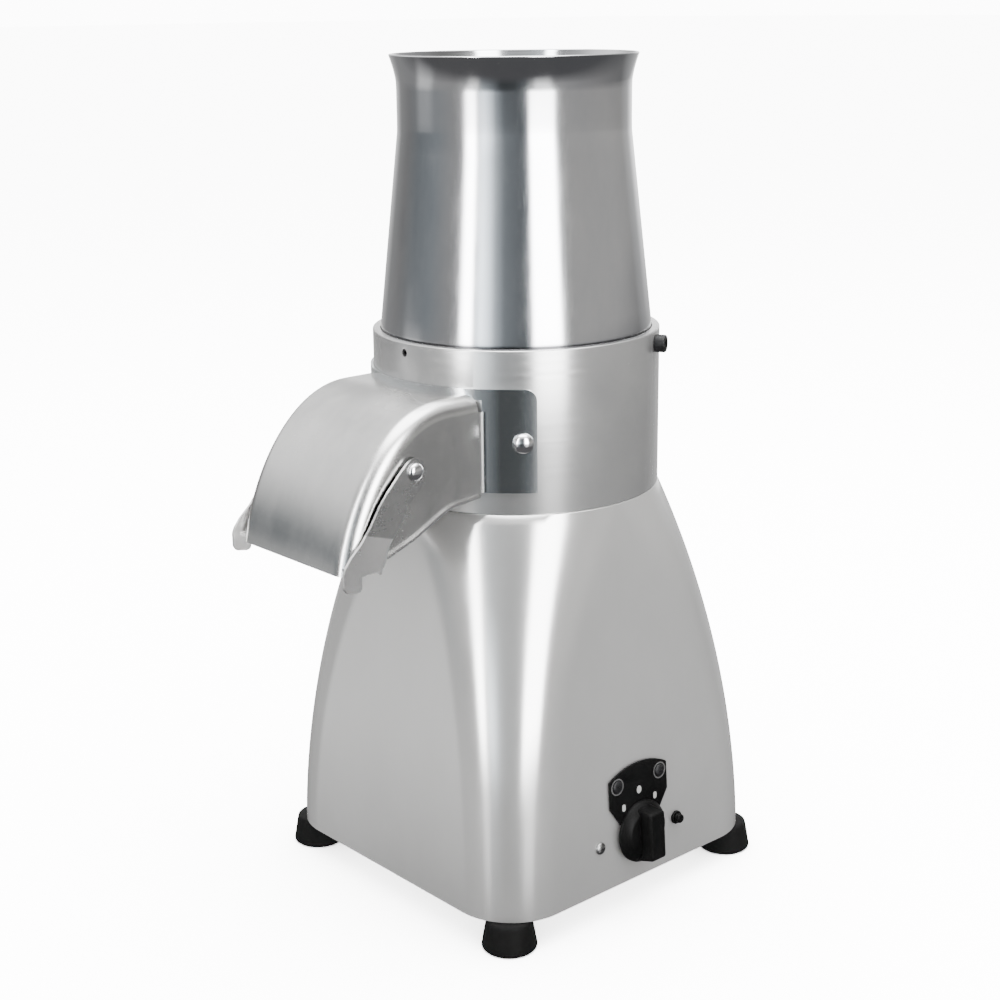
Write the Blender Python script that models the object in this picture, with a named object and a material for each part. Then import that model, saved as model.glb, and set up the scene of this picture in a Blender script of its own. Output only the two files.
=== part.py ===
"""Electric grater: a round hopper over a grating chamber, a side hood, and a square-to-round steel stand.

The machine's vertical axis is the line that the shaft, chamber and hopper share. Every piece is modelled
about that axis and carried by the empty machine_axis, which sets the middle of the whole footprint on
the world origin. The front, with the switch, faces -Y, and the hood discharges towards -X.
"""
import math

import bmesh
import bpy
from mathutils import Euler, Matrix, Vector

MM = 0.001
TINY = 0.00001

# Fits
GAP = 0.3 * MM
RUNNING_CLEARANCE = 1.5 * MM
SHAFT_CLEARANCE = 0.3 * MM

# Stand: a sheet-steel shell that turns from a rounded square into a circle
FOOT_HEIGHT = 22.0 * MM
FOOT_CENTRE = 114.0 * MM
FOOT_BOTTOM_RADIUS = 20.0 * MM
FOOT_TOP_RADIUS = 16.5 * MM
FOOT_SCREW_RADIUS = 3.0 * MM
STAND_HALF_WIDTH = 134.5 * MM
STAND_CORNER = 48.0 * MM
STAND_HEIGHT = 279.2 * MM
STAND_SHEET = 2.0 * MM
STAND_FLANGE = 12.0 * MM
FLANK_POWER = 1.53
CORNER_POWER = 2.67
STAND_LEVELS = 8
CORNER_STEPS = 6
BASE_PLATE_THICKNESS = 3.0 * MM

# Grating chamber
CHAMBER_RADIUS = 104.9 * MM
CHAMBER_HEIGHT = 115.4 * MM
CHAMBER_WALL = 9.9 * MM
CHAMBER_FLOOR = 12.0 * MM
CHAMBER_BOSS_RADIUS = 28.0 * MM
CHAMBER_BOSS_HEIGHT = 16.2 * MM
LEDGE_DEPTH = 20.2 * MM
WINDOW_HALF_WIDTH = 54.0 * MM
WINDOW_SILL = 4.2 * MM
WINDOW_HEIGHT = 66.0 * MM

# Hopper
HOPPER_WALL_INSET = 6.0 * MM
HOPPER_TAPER = 15.5 * MM
HOPPER_FLARE = 4.8 * MM
HOPPER_CONE_HEIGHT = 143.0 * MM
HOPPER_NECK_HEIGHT = 29.0 * MM
HOPPER_FLARE_HEIGHT = 20.8 * MM
HOPPER_SHEET = 1.6 * MM

# Drive shaft and motor
SHAFT_RADIUS = 12.5 * MM
SPINDLE_RADIUS = 10.0 * MM
NUT_THREAD_RADIUS = 8.0 * MM
FAN_SEAT_RADIUS = 8.5 * MM
ROTOR_SEAT_RADIUS = 14.0 * MM
CHAMBER_BOLT_INSET = 19.9 * MM
CHAMBER_BOLT_RADIUS = 4.0 * MM
TIE_BOLT_OUTSET = 9.0 * MM
TIE_BOLT_RADIUS = 2.5 * MM
MOTOR_RIB_HEIGHT = 4.0 * MM
MOTOR_RIBS = 12
MOTOR_FRAME_WALL = 5.7 * MM
MOTOR_FRAME_SHARE = 0.5362
MOTOR_FLANGE_THICKNESS = 10.0 * MM
UPPER_SHIELD_HEIGHT = 37.0 * MM
LOWER_SHIELD_HEIGHT = 18.0 * MM
SHIELD_SPIGOT = 4.0 * MM
STATOR_SHARE = 0.668
STATOR_BORE_SHARE = 0.596
SLOT_DEPTH_SHARE = 0.65
STATOR_SLOTS = 12
AIR_GAP = 0.8 * MM
UPPER_BEARING_RADIUS = 26.0 * MM
UPPER_BEARING_WIDTH = 15.0 * MM
LOWER_BEARING_RADIUS = 23.5 * MM
LOWER_BEARING_WIDTH = 14.0 * MM
SEAL_WALL = 8.2 * MM
SEAL_WIDTH = 7.0 * MM
FAN_HEIGHT = 22.0 * MM
FAN_BLADES = 8
FAN_INSET = 14.0 * MM

# Grating set
EJECTOR_VANES = 4
EJECTOR_VANE_THICKNESS = 4.0 * MM
HUB_WALL = 8.0 * MM
DISC_THICKNESS = 2.5 * MM
DISC_HUB_HEIGHT = 11.7 * MM
DISC_HUB_CROWN = 2.5 * MM
TOOTH_HEIGHT = 2.4 * MM
TOOTH_LENGTH = 8.0 * MM
TOOTH_WIDTH = 10.0 * MM
TOOTH_SLOT = 3.2 * MM
TOOTH_ROWS = ((0.36, 6), (0.6, 9), (0.845, 13))
NUT_WALL = 11.0 * MM
NUT_HEIGHT = 15.5 * MM
NUT_FLUTES = 5

# Discharge hood: lengths run out from the chamber's wall, heights up from the chamber's foot
HOOD_REACH = 104.1 * MM
HOOD_HALF_WIDTH = 61.5 * MM
HOOD_SHEET = 2.0 * MM
HOOD_TOP_RISE = 85.2 * MM
HOOD_MOUTH_DROP = 19.2 * MM
HOOD_SIDE_DROP = 13.8 * MM
HOOD_EDGE_RADIUS = 12.0 * MM
HOOD_ROOF_LENGTH = 13.1 * MM
HOOD_ROOF_HANDLE = 60.1 * MM
HOOD_FRONT_HANDLE = (95.5 * MM, 30.6 * MM)
HOOD_FLOOR = ((69.1 * MM, -12.8 * MM), (45.1 * MM, -4.3 * MM), (20.1 * MM, 8.2 * MM), (12.1 * MM, 11.2 * MM))
HOOD_FLOOR_ROOT_RISE = 13.7 * MM
HOOD_ROOT_DEPTH = 14.0 * MM
HOOD_LIP = 2.0 * MM
SIDE_SLOT = ((52.1 * MM, 46.2 * MM), (59.2 * MM, 43.2 * MM), (67.8 * MM, 34.7 * MM), (76.5 * MM, 24.1 * MM),
             (84.5 * MM, 10.7 * MM), (93.1 * MM, -2.8 * MM), (95.6 * MM, -11.8 * MM), (95.6 * MM, -17.8 * MM),
             (89.6 * MM, -17.8 * MM))
SLOT_DEPTH = 4.0 * MM
EAR_END_ANGLE = 55.4
EAR_CORNER = 8.0 * MM
FLANGE_LAP = 3.5 * MM
EAR_TOP_RISE = 89.1 * MM
EAR_LENGTH = 72.8 * MM
EAR_SCREW_SHARE = 0.482
EAR_SCREW_ANGLE = 50.2
EAR_SCREW_RADIUS = 4.0 * MM
DOME_RADIUS = 7.4 * MM

# Outlet flap: lengths of its side view are taken from the pivot
FLAP_PIVOT_OUT = 45.3 * MM
FLAP_PIVOT_RISE = 43.5 * MM
FLAP_SHEET = 2.0 * MM
FLAP_HEAD_RADIUS = 9.2 * MM
PIVOT_RADIUS = 3.0 * MM
PIVOT_DOME_RADIUS = 6.3 * MM
PIVOT_COLLAR_RADIUS = 5.0 * MM
FLAP_DROP = 60.9 * MM
FLAP_NEAR = 29.5 * MM
FLAP_FAR = 55.8 * MM
FLAP_FOLD = 7.0 * MM
FLAP_ARM = ((-13.0, 0.6), (-23.4, -10.0), (-30.6, -18.8), (-38.3, -30.8), (-46.1, -40.5), (-54.5, -48.0),
            (-59.6, -54.2), (-61.4, -58.5), (-61.4, -68.0), (-59.2, -71.4), (-50.7, -73.0), (-47.8, -72.2),
            (-46.9, -70.2), (-47.0, -62.6), (-29.5, -61.3), (-26.5, -56.0), (-23.5, -46.5), (-16.0, -37.0),
            (-10.7, -30.0), (-7.0, -22.0), (5.0, -11.5))

# Clamp and stop screws round the chamber's top
CLAMP_ANGLE = 60.0
CLAMP_DROP = 9.2 * MM
CLAMP_SCREW_RADIUS = 4.0 * MM
CLAMP_HEAD_RADIUS = 6.4 * MM
CLAMP_HEAD_HEIGHT = 7.5 * MM
STOP_DROP = 7.2 * MM
STOP_SCREW_RADIUS = 2.5 * MM
STOP_RECESS = 0.8 * MM

# Controls, in the plane of the front panel
PANEL_HEIGHT = 80.0 * MM
KNOB_ACROSS = -3.0 * MM
KNOB_HEIGHT = 59.8 * MM
KNOB_RADIUS = 23.3 * MM
KNOB_TOP_RADIUS = 17.0 * MM
KNOB_BAND = 2.0 * MM
KNOB_SKIRT = 7.5 * MM
KNOB_REACH = 18.0 * MM
KNOB_GRIP_WIDTH = 15.0 * MM
KNOB_GRIP_UP = 18.0 * MM
KNOB_GRIP_DOWN = 17.8 * MM
KNOB_BEVEL = 2.0 * MM
SPINDLE_ROD_RADIUS = 4.0 * MM
PLATE_THICKNESS = 1.5 * MM
PLATE_HALF_WIDTH = 29.6 * MM
PLATE_SHOULDER = 45.1 * MM
PLATE_CROWN = 52.9 * MM
PLATE_WAIST = 24.2 * MM
PLATE_FOOT_RADIUS = 21.0 * MM
PLATE_SCREW_ACROSS = 21.8 * MM
PLATE_SCREW_UP = 40.1 * MM
PLATE_SCREW_RADIUS = 2.0 * MM
PLATE_SCREW_HEAD = 4.6 * MM
SWITCH_BUSH_RADIUS = 8.0 * MM
SWITCH_BODY = 44.0 * MM
SWITCH_DEPTH = 40.0 * MM
RESET_ACROSS = 36.0 * MM
RESET_HEIGHT = 56.8 * MM
RESET_BUTTON_RADIUS = 3.4 * MM
RESET_BEZEL_RADIUS = 5.0 * MM
RESET_REACH = 6.0 * MM
CLIP_SCREW_ACROSS = -43.0 * MM
CLIP_SCREW_HEIGHT = 58.2 * MM
CLIP_SCREW_RADIUS = 2.0 * MM
CLIP_SCREW_HEAD = 4.4 * MM
CAPACITOR_RADIUS = 17.5 * MM
CAPACITOR_HEIGHT = 60.0 * MM
CAPACITOR_ACROSS = -78.0 * MM
CLIP_SHEET = 1.5 * MM
CLIP_WIDTH = 16.0 * MM
GLAND_ACROSS = 60.0 * MM
GLAND_HEIGHT = 50.0 * MM
GLAND_RADIUS = 11.0 * MM
GLAND_THREAD_RADIUS = 8.0 * MM
GLAND_REACH = 16.0 * MM

# Sizes that follow from those above
STAND_LOW = FOOT_HEIGHT + GAP
STAND_TOP = STAND_LOW + STAND_HEIGHT
CHAMBER_LOW = STAND_TOP + GAP
CHAMBER_TOP = CHAMBER_LOW + CHAMBER_HEIGHT
CHAMBER_BORE_RADIUS = CHAMBER_RADIUS - CHAMBER_WALL
MOTOR_FRAME_LENGTH = STAND_HEIGHT * MOTOR_FRAME_SHARE
STATOR_LENGTH = MOTOR_FRAME_LENGTH * STATOR_SHARE
FLOOR_TOP = CHAMBER_LOW + CHAMBER_FLOOR
BOSS_TOP = FLOOR_TOP + CHAMBER_BOSS_HEIGHT
LEDGE = CHAMBER_TOP - LEDGE_DEPTH
WINDOW_LOW = FLOOR_TOP + WINDOW_SILL
HOPPER_RADIUS = CHAMBER_RADIUS - HOPPER_WALL_INSET
HOPPER_NECK_RADIUS = HOPPER_RADIUS - HOPPER_TAPER
HOPPER_RIM_RADIUS = HOPPER_NECK_RADIUS + HOPPER_FLARE
MOTOR_TOP = STAND_TOP - STAND_SHEET - GAP
MOTOR_FLANGE_RADIUS = CHAMBER_BORE_RADIUS
CHAMBER_BOLT_CIRCLE = CHAMBER_RADIUS - CHAMBER_BOLT_INSET
MOTOR_FRAME_RADIUS = CHAMBER_BOLT_CIRCLE - 3.75 * CHAMBER_BOLT_RADIUS
TIE_BOLT_CIRCLE = MOTOR_FRAME_RADIUS + TIE_BOLT_OUTSET
DECK_HOLE_RADIUS = MOTOR_FRAME_RADIUS - 4 * TIE_BOLT_RADIUS
FRAME_BORE_RADIUS = MOTOR_FRAME_RADIUS - MOTOR_FRAME_WALL
STATOR_BORE_RADIUS = FRAME_BORE_RADIUS * STATOR_BORE_SHARE
SLOT_BOTTOM_RADIUS = STATOR_BORE_RADIUS + (FRAME_BORE_RADIUS - STATOR_BORE_RADIUS) * SLOT_DEPTH_SHARE
ROTOR_RADIUS = STATOR_BORE_RADIUS - AIR_GAP
SHIELD_LOW = MOTOR_TOP - UPPER_SHIELD_HEIGHT
FRAME_TOP = SHIELD_LOW - GAP
FRAME_LOW = FRAME_TOP - MOTOR_FRAME_LENGTH
LOWER_SHIELD_TOP = FRAME_LOW - GAP
LOWER_SHIELD_LOW = LOWER_SHIELD_TOP - LOWER_SHIELD_HEIGHT
STATOR_LOW = (FRAME_TOP + FRAME_LOW - STATOR_LENGTH) / 2
STATOR_TOP = STATOR_LOW + STATOR_LENGTH
SEAL_RADIUS = SHAFT_RADIUS + GAP + SEAL_WALL
EJECTOR_LOW = BOSS_TOP + RUNNING_CLEARANCE
EJECTOR_TOP = LEDGE - 4 * RUNNING_CLEARANCE - DISC_HUB_HEIGHT + DISC_THICKNESS + DISC_HUB_CROWN
HUB_RADIUS = SPINDLE_RADIUS + HUB_WALL
DISC_HUB_LOW = EJECTOR_TOP + GAP
DISC_HUB_TOP = DISC_HUB_LOW + DISC_HUB_HEIGHT
DISC_LOW = DISC_HUB_TOP - DISC_THICKNESS - DISC_HUB_CROWN
DISC_RADIUS = CHAMBER_BORE_RADIUS - RUNNING_CLEARANCE
NUT_RADIUS = NUT_THREAD_RADIUS + NUT_WALL
FAN_LOW = LOWER_SHIELD_LOW - FAN_HEIGHT - 8.0 * MM
FAN_RADIUS = MOTOR_FRAME_RADIUS - FAN_INSET
COVER_RADIUS = MOTOR_FRAME_RADIUS + GAP
EAR_RADIUS = CHAMBER_RADIUS + GAP
HOOD_FRONT = -CHAMBER_RADIUS - HOOD_REACH
HOOD_TOP = CHAMBER_LOW + HOOD_TOP_RISE
HOOD_MOUTH = CHAMBER_LOW - HOOD_MOUTH_DROP
HOOD_FLOOR_ROOT = CHAMBER_LOW + HOOD_FLOOR_ROOT_RISE
EAR_TOP = CHAMBER_LOW + EAR_TOP_RISE
EAR_BOTTOM = EAR_TOP - EAR_LENGTH
EAR_SCREW_HEIGHT = EAR_BOTTOM + EAR_LENGTH * EAR_SCREW_SHARE
EAR_START_ANGLE = math.degrees(math.asin((HOOD_HALF_WIDTH - HOOD_SHEET / 2) / EAR_RADIUS))
CLAMP_HEIGHT = CHAMBER_TOP - CLAMP_DROP
STOP_HEIGHT = CHAMBER_TOP - STOP_DROP
FLAP_PIVOT = (-CHAMBER_RADIUS - FLAP_PIVOT_OUT, CHAMBER_LOW + FLAP_PIVOT_RISE)
FLAP_INSIDE = HOOD_HALF_WIDTH + HOOD_LIP + GAP


def material(name, colour, roughness, metallic):
    """A Principled surface in one colour."""
    made = bpy.data.materials.new(name)
    made.use_nodes = True
    shader = made.node_tree.nodes["Principled BSDF"]
    shader.inputs["Base Color"].default_value = (*colour, 1.0)
    shader.inputs["Roughness"].default_value = roughness
    shader.inputs["Metallic"].default_value = metallic
    made.diffuse_color = (*colour, 1.0)
    return made


def start_empty_scene():
    """Leave nothing in the scene but what this file models."""
    for old in list(bpy.data.objects):
        bpy.data.objects.remove(old, do_unlink=True)


def flank(height):
    """Half-width of the stand's flat flank at a height."""
    share = (height - STAND_LOW) / STAND_HEIGHT
    return STAND_HALF_WIDTH - (STAND_HALF_WIDTH - CHAMBER_RADIUS) * max(share, 0.0) ** FLANK_POWER


def flank_slope(height):
    """Lean of the flank from the vertical at a height, in radians."""
    step = MM
    return math.atan((flank(height - step) - flank(height + step)) / (2 * step))


def corner(height):
    """Corner radius of the stand at a height: it grows until the section is a circle."""
    share = max((height - STAND_LOW) / STAND_HEIGHT, 0.0)
    return STAND_CORNER + (CHAMBER_RADIUS - STAND_CORNER) * share ** CORNER_POWER


def arc(centre, radius, start, end, steps):
    """Points on an arc, angles in degrees."""
    points = []
    for i in range(steps + 1):
        angle = math.radians(start + (end - start) * i / steps)
        points.append((centre[0] + radius * math.cos(angle), centre[1] + radius * math.sin(angle)))
    return points


def place(mesh_object, origin=(0.0, 0.0, 0.0)):
    """Move an object's origin to a point, with its shape left where it is."""
    offset = Vector(origin)
    mesh_object.data.transform(Matrix.Translation(-offset))
    mesh_object.location = offset
    return mesh_object


def finish(name, mesh_data, surface, parent, origin=(0.0, 0.0, 0.0), smooth=True):
    """Turn an edit mesh into a named object on its parent."""
    bmesh.ops.remove_doubles(mesh_data, verts=mesh_data.verts, dist=TINY)
    bmesh.ops.dissolve_degenerate(mesh_data, edges=mesh_data.edges, dist=TINY)
    bmesh.ops.recalc_face_normals(mesh_data, faces=mesh_data.faces)
    mesh = bpy.data.meshes.new(name)
    mesh_data.to_mesh(mesh)
    mesh_data.free()
    if smooth:
        mesh.shade_smooth()
        mesh.set_sharp_from_angle(angle=math.radians(35))
    made = bpy.data.objects.new(name, mesh)
    bpy.context.scene.collection.objects.link(made)
    made.parent = parent
    if surface:
        mesh.materials.append(surface)
    return place(made, origin)


def turned(profile, segments=32):
    """A solid of revolution about the Z axis, from a closed outline of (radius, height)."""
    work = bmesh.new()
    corners = [work.verts.new((radius, 0.0, height)) for radius, height in profile]
    edges = [work.edges.new((corners[i], corners[(i + 1) % len(corners)])) for i in range(len(corners))
             if profile[i][0] > TINY or profile[(i + 1) % len(corners)][0] > TINY]
    bmesh.ops.spin(work, geom=corners + edges, cent=(0, 0, 0), axis=(0, 0, 1), angle=2 * math.pi,
                   steps=segments, use_merge=True)
    bmesh.ops.remove_doubles(work, verts=work.verts, dist=TINY)
    return work


def extruded(outline, low, high, across="z"):
    """A prism from an outline; across names the axis that it runs along."""
    turn = {"z": lambda p, h: (p[0], p[1], h), "y": lambda p, h: (p[0], h, p[1]),
            "x": lambda p, h: (h, p[0], p[1])}[across]
    work = bmesh.new()
    face = work.faces.new([work.verts.new(turn(p, low)) for p in outline])
    grown = bmesh.ops.extrude_face_region(work, geom=[face])
    moved = [v for v in grown["geom"] if isinstance(v, bmesh.types.BMVert)]
    bmesh.ops.translate(work, verts=moved, vec=Vector(turn((0, 0), high)) - Vector(turn((0, 0), low)))
    return work


def box(low, high):
    """A block between two corners."""
    outline = ((low[0], low[1]), (high[0], low[1]), (high[0], high[1]), (low[0], high[1]))
    return extruded(outline, low[2], high[2])


def rod(radius, low, high, centre=(0.0, 0.0), segments=16):
    """A round rod along Z."""
    work = bmesh.new()
    bmesh.ops.create_cone(work, cap_ends=True, segments=segments, radius1=radius, radius2=radius,
                          depth=high - low)
    bmesh.ops.translate(work, verts=work.verts, vec=(centre[0], centre[1], (low + high) / 2))
    return work


def tube_between(outer, inner, low, high):
    """A ring-shaped prism between two loops that have the same number of points."""
    work = bmesh.new()
    count = len(outer)
    loops = []
    for points, height in ((outer, low), (outer, high), (inner, high), (inner, low)):
        loops.append([work.verts.new((x, y, height)) for x, y in points])
    for k in range(4):
        here, after = loops[k], loops[(k + 1) % 4]
        for i in range(count):
            j = (i + 1) % count
            work.faces.new((here[i], here[j], after[j], after[i]))
    return work


def merged(pieces):
    """Several edit meshes in one, side by side."""
    work = bmesh.new()
    for piece in pieces:
        scratch = bpy.data.meshes.new("scratch")
        piece.to_mesh(scratch)
        piece.free()
        work.from_mesh(scratch)
        bpy.data.meshes.remove(scratch)
    return work


def moved(piece, matrix):
    """An edit mesh after a move."""
    bmesh.ops.transform(piece, matrix=matrix, verts=piece.verts)
    return piece


def about_z(degrees):
    return Matrix.Rotation(math.radians(degrees), 4, "Z")


def along_x(piece, height):
    """Lay a Z rod along +X at a height."""
    return moved(piece, Matrix.Translation((0, 0, height)) @ Matrix.Rotation(math.radians(90), 4, "Y"))


def along_front(piece, across, height):
    """Lay a Z rod along -Y, pointing out of the front panel."""
    return moved(piece, Matrix.Translation((across, 0, height)) @ Matrix.Rotation(math.radians(90), 4, "X"))


def apply_boolean(target, tool_mesh, operation, name):
    """Cut a shape from a solid, or join one to it; the tool stays as a hidden guide."""
    bmesh.ops.remove_doubles(tool_mesh, verts=tool_mesh.verts, dist=TINY)
    bmesh.ops.recalc_face_normals(tool_mesh, faces=tool_mesh.faces)
    mesh = bpy.data.meshes.new(name)
    tool_mesh.to_mesh(mesh)
    tool_mesh.free()
    tool = bpy.data.objects.new(name, mesh)
    bpy.context.scene.collection.objects.link(tool)
    tool.parent = target.parent
    tool.hide_render = True
    tool.display_type = "WIRE"
    change = target.modifiers.new(name, "BOOLEAN")
    change.operation = operation
    change.solver = "EXACT"
    change.object = tool
    return target


def cut(target, tool_mesh, name):
    return apply_boolean(target, tool_mesh, "DIFFERENCE", target.name + "_" + name)


def join(target, tool_mesh, name):
    return apply_boolean(target, tool_mesh, "UNION", target.name + "_" + name)


def hexagon(radius):
    """The outline of a hexagon head, by its distance across the flats halved."""
    return arc((0.0, 0.0), radius / math.cos(math.pi / 6), 0, 300, 5)


def socket_screw(shank_radius, length, head_radius, head_height, segments=12):
    """A socket-head screw: the head above Z = 0, the shank below it."""
    socket_radius = head_radius * 0.5
    socket_depth = head_height * 0.6
    rim = head_radius * 0.88
    profile = ((0.0, -length), (shank_radius, -length), (shank_radius, 0.0), (head_radius, 0.0),
               (head_radius, head_height * 0.9), (rim, head_height), (socket_radius, head_height),
               (socket_radius, head_height - socket_depth), (0.0, head_height - socket_depth))
    return turned(profile, segments)


def headed_bolt(shank_radius, length, head_radius, head_height):
    """A plain bolt that is hidden inside the stand: the head above Z = 0, the shank below it."""
    profile = ((0.0, -length), (shank_radius, -length), (shank_radius, 0.0), (head_radius, 0.0),
               (head_radius, head_height), (0.0, head_height))
    return turned(profile, 8)


def domed_screw(shank_radius, length, dome_radius, dome_height, segments=12):
    """A button-head screw: the dome above Z = 0, the shank below it."""
    profile = [(0.0, -length), (shank_radius, -length), (shank_radius, 0.0), (dome_radius, 0.0)]
    for i in range(1, 3):
        angle = math.radians(30.0 * i)
        profile.append((dome_radius * math.cos(angle), dome_height * math.sin(angle)))
    profile.append((0.0, dome_height))
    return turned(profile, segments)


def rounded_square(half_width, radius, height, steps=CORNER_STEPS):
    """Points of a rounded square at a height, corner by corner."""
    points = []
    centre = half_width - radius
    for k, (sx, sy) in enumerate(((1, 1), (-1, 1), (-1, -1), (1, -1))):
        for x, y in arc((sx * centre, sy * centre), radius, 90 * k, 90 * k + 90, steps):
            points.append((x, y, height))
    return points


def stand_rings():
    """The closed upright section of the stand: half-width, corner radius and height of each ring."""
    rings = []
    for i in range(STAND_LEVELS + 1):
        height = STAND_LOW + STAND_HEIGHT * i / STAND_LEVELS
        rings.append((flank(height), corner(height), height))
    under_deck = STAND_TOP - STAND_SHEET
    rings.append((DECK_HOLE_RADIUS, DECK_HOLE_RADIUS, STAND_TOP))
    rings.append((DECK_HOLE_RADIUS, DECK_HOLE_RADIUS, under_deck))
    flange_low = STAND_LOW + BASE_PLATE_THICKNESS + GAP
    flange_high = flange_low + STAND_SHEET
    heights = [under_deck]
    for i in range(STAND_LEVELS - 1, 0, -1):
        height = STAND_LOW + STAND_HEIGHT * i / STAND_LEVELS
        if flange_high + STAND_SHEET < height < under_deck - STAND_SHEET:
            heights.append(height)
    heights.append(flange_high)
    for height in heights:
        rings.append((flank(height) - STAND_SHEET, corner(height) - STAND_SHEET, height))
    inset = STAND_SHEET + STAND_FLANGE
    for height in (flange_high, flange_low):
        rings.append((flank(height) - inset, corner(height) - inset, height))
    for height in (flange_low, STAND_LOW):
        rings.append((flank(height) - STAND_SHEET, corner(height) - STAND_SHEET, height))
    return rings


def build_stand(surface, axis, panel, back):
    """The shell: a loft from a rounded square foot to the round neck, with a deck and a return flange."""
    work = bmesh.new()
    loops = [[work.verts.new(point) for point in rounded_square(*ring)] for ring in stand_rings()]
    count = len(loops[0])
    for k, here in enumerate(loops):
        after = loops[(k + 1) % len(loops)]
        for i in range(count):
            j = (i + 1) % count
            work.faces.new((here[i], here[j], after[j], after[i]))
    stand = finish("stand_shell", work, surface, axis)
    holes = [rod(FOOT_SCREW_RADIUS + GAP, STAND_LOW + BASE_PLATE_THICKNESS / 2, STAND_LOW + 12 * MM, foot, 10)
             for foot in foot_places()]
    for angle in (45, 135, 225, 315):
        spot = arc((0, 0), CHAMBER_BOLT_CIRCLE, angle, angle, 1)[0]
        holes.append(rod(CHAMBER_BOLT_RADIUS + 2 * GAP, MOTOR_TOP - MM, STAND_TOP + MM, spot, 10))
    cut(stand, merged(holes), "bolt_holes")
    reach = 12 * MM
    front = [
        along_front(rod(SWITCH_BUSH_RADIUS + GAP, -reach, reach), KNOB_ACROSS, panel_up(KNOB_HEIGHT)),
        along_front(rod(RESET_BEZEL_RADIUS - MM + GAP, -reach, reach), RESET_ACROSS, panel_up(RESET_HEIGHT)),
        along_front(rod(CLIP_SCREW_RADIUS + GAP, -reach, reach, segments=10), CLIP_SCREW_ACROSS,
                    panel_up(CLIP_SCREW_HEIGHT)),
    ]
    for side in (-1, 1):
        front.append(along_front(rod(PLATE_SCREW_RADIUS + GAP, -reach, reach, segments=10),
                                 KNOB_ACROSS + side * PLATE_SCREW_ACROSS,
                                 panel_up(KNOB_HEIGHT) + PLATE_SCREW_UP))
    cut(stand, moved(merged(front), panel.matrix_basis), "panel_holes")
    gland = along_front(rod(GLAND_THREAD_RADIUS + GAP, -reach, reach), 0.0, 0.0)
    cut(stand, moved(gland, back.matrix_basis), "gland_hole")
    return stand


def foot_places():
    return [(x * FOOT_CENTRE, y * FOOT_CENTRE) for y in (-1, 1) for x in (-1, 1)]


def build_base_plate(surface, axis):
    """The flat bottom, inside the shell and under its flange, with cooling slots below the fan."""
    half = STAND_HALF_WIDTH - STAND_SHEET - GAP
    radius = STAND_CORNER - STAND_SHEET - GAP
    outline = [(x, y) for x, y, z in rounded_square(half - GAP, radius, 0.0, 5)]
    plate = finish("base_plate", extruded(outline, STAND_LOW, STAND_LOW + BASE_PLATE_THICKNESS), surface, axis)
    slots = [rod(FOOT_SCREW_RADIUS + GAP, STAND_LOW - MM, STAND_LOW + 5 * MM, foot, 10)
             for foot in foot_places()]
    for i in range(5):
        across = (i - 2) * 18 * MM
        length = 44 * MM - abs(i - 2) * 6 * MM
        slots.append(box((across - 2.5 * MM, -length, STAND_LOW - MM),
                         (across + 2.5 * MM, length, STAND_LOW + 5 * MM)))
    return cut(plate, merged(slots), "slots")


def build_feet(rubber, steel, axis):
    """Four rubber cones under the corners, each held by a screw from below."""
    names = ("front_left", "front_right", "rear_left", "rear_right")
    recess = 8 * MM
    head = 3.5 * MM
    bore = FOOT_SCREW_RADIUS + GAP
    profile = ((bore, recess), (7 * MM, recess), (7 * MM, 0.0), (FOOT_BOTTOM_RADIUS - 1.5 * MM, 0.0),
               (FOOT_BOTTOM_RADIUS, 1.5 * MM), (FOOT_TOP_RADIUS, FOOT_HEIGHT - 2 * MM),
               (FOOT_TOP_RADIUS - 1.5 * MM, FOOT_HEIGHT), (bore, FOOT_HEIGHT))
    top = STAND_LOW + BASE_PLATE_THICKNESS + GAP + STAND_SHEET + 2 * MM
    for name, spot in zip(names, foot_places()):
        shift = Matrix.Translation((spot[0], spot[1], 0.0))
        finish("foot_" + name, moved(turned(profile, 14), shift), rubber, axis)
        screw = ((0.0, recess - GAP - head), (6 * MM, recess - GAP - head), (6 * MM, recess - GAP),
                 (FOOT_SCREW_RADIUS, recess - GAP), (FOOT_SCREW_RADIUS, top), (0.0, top))
        finish("foot_screw_" + name, moved(turned(screw, 10), shift), steel, axis)


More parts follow.
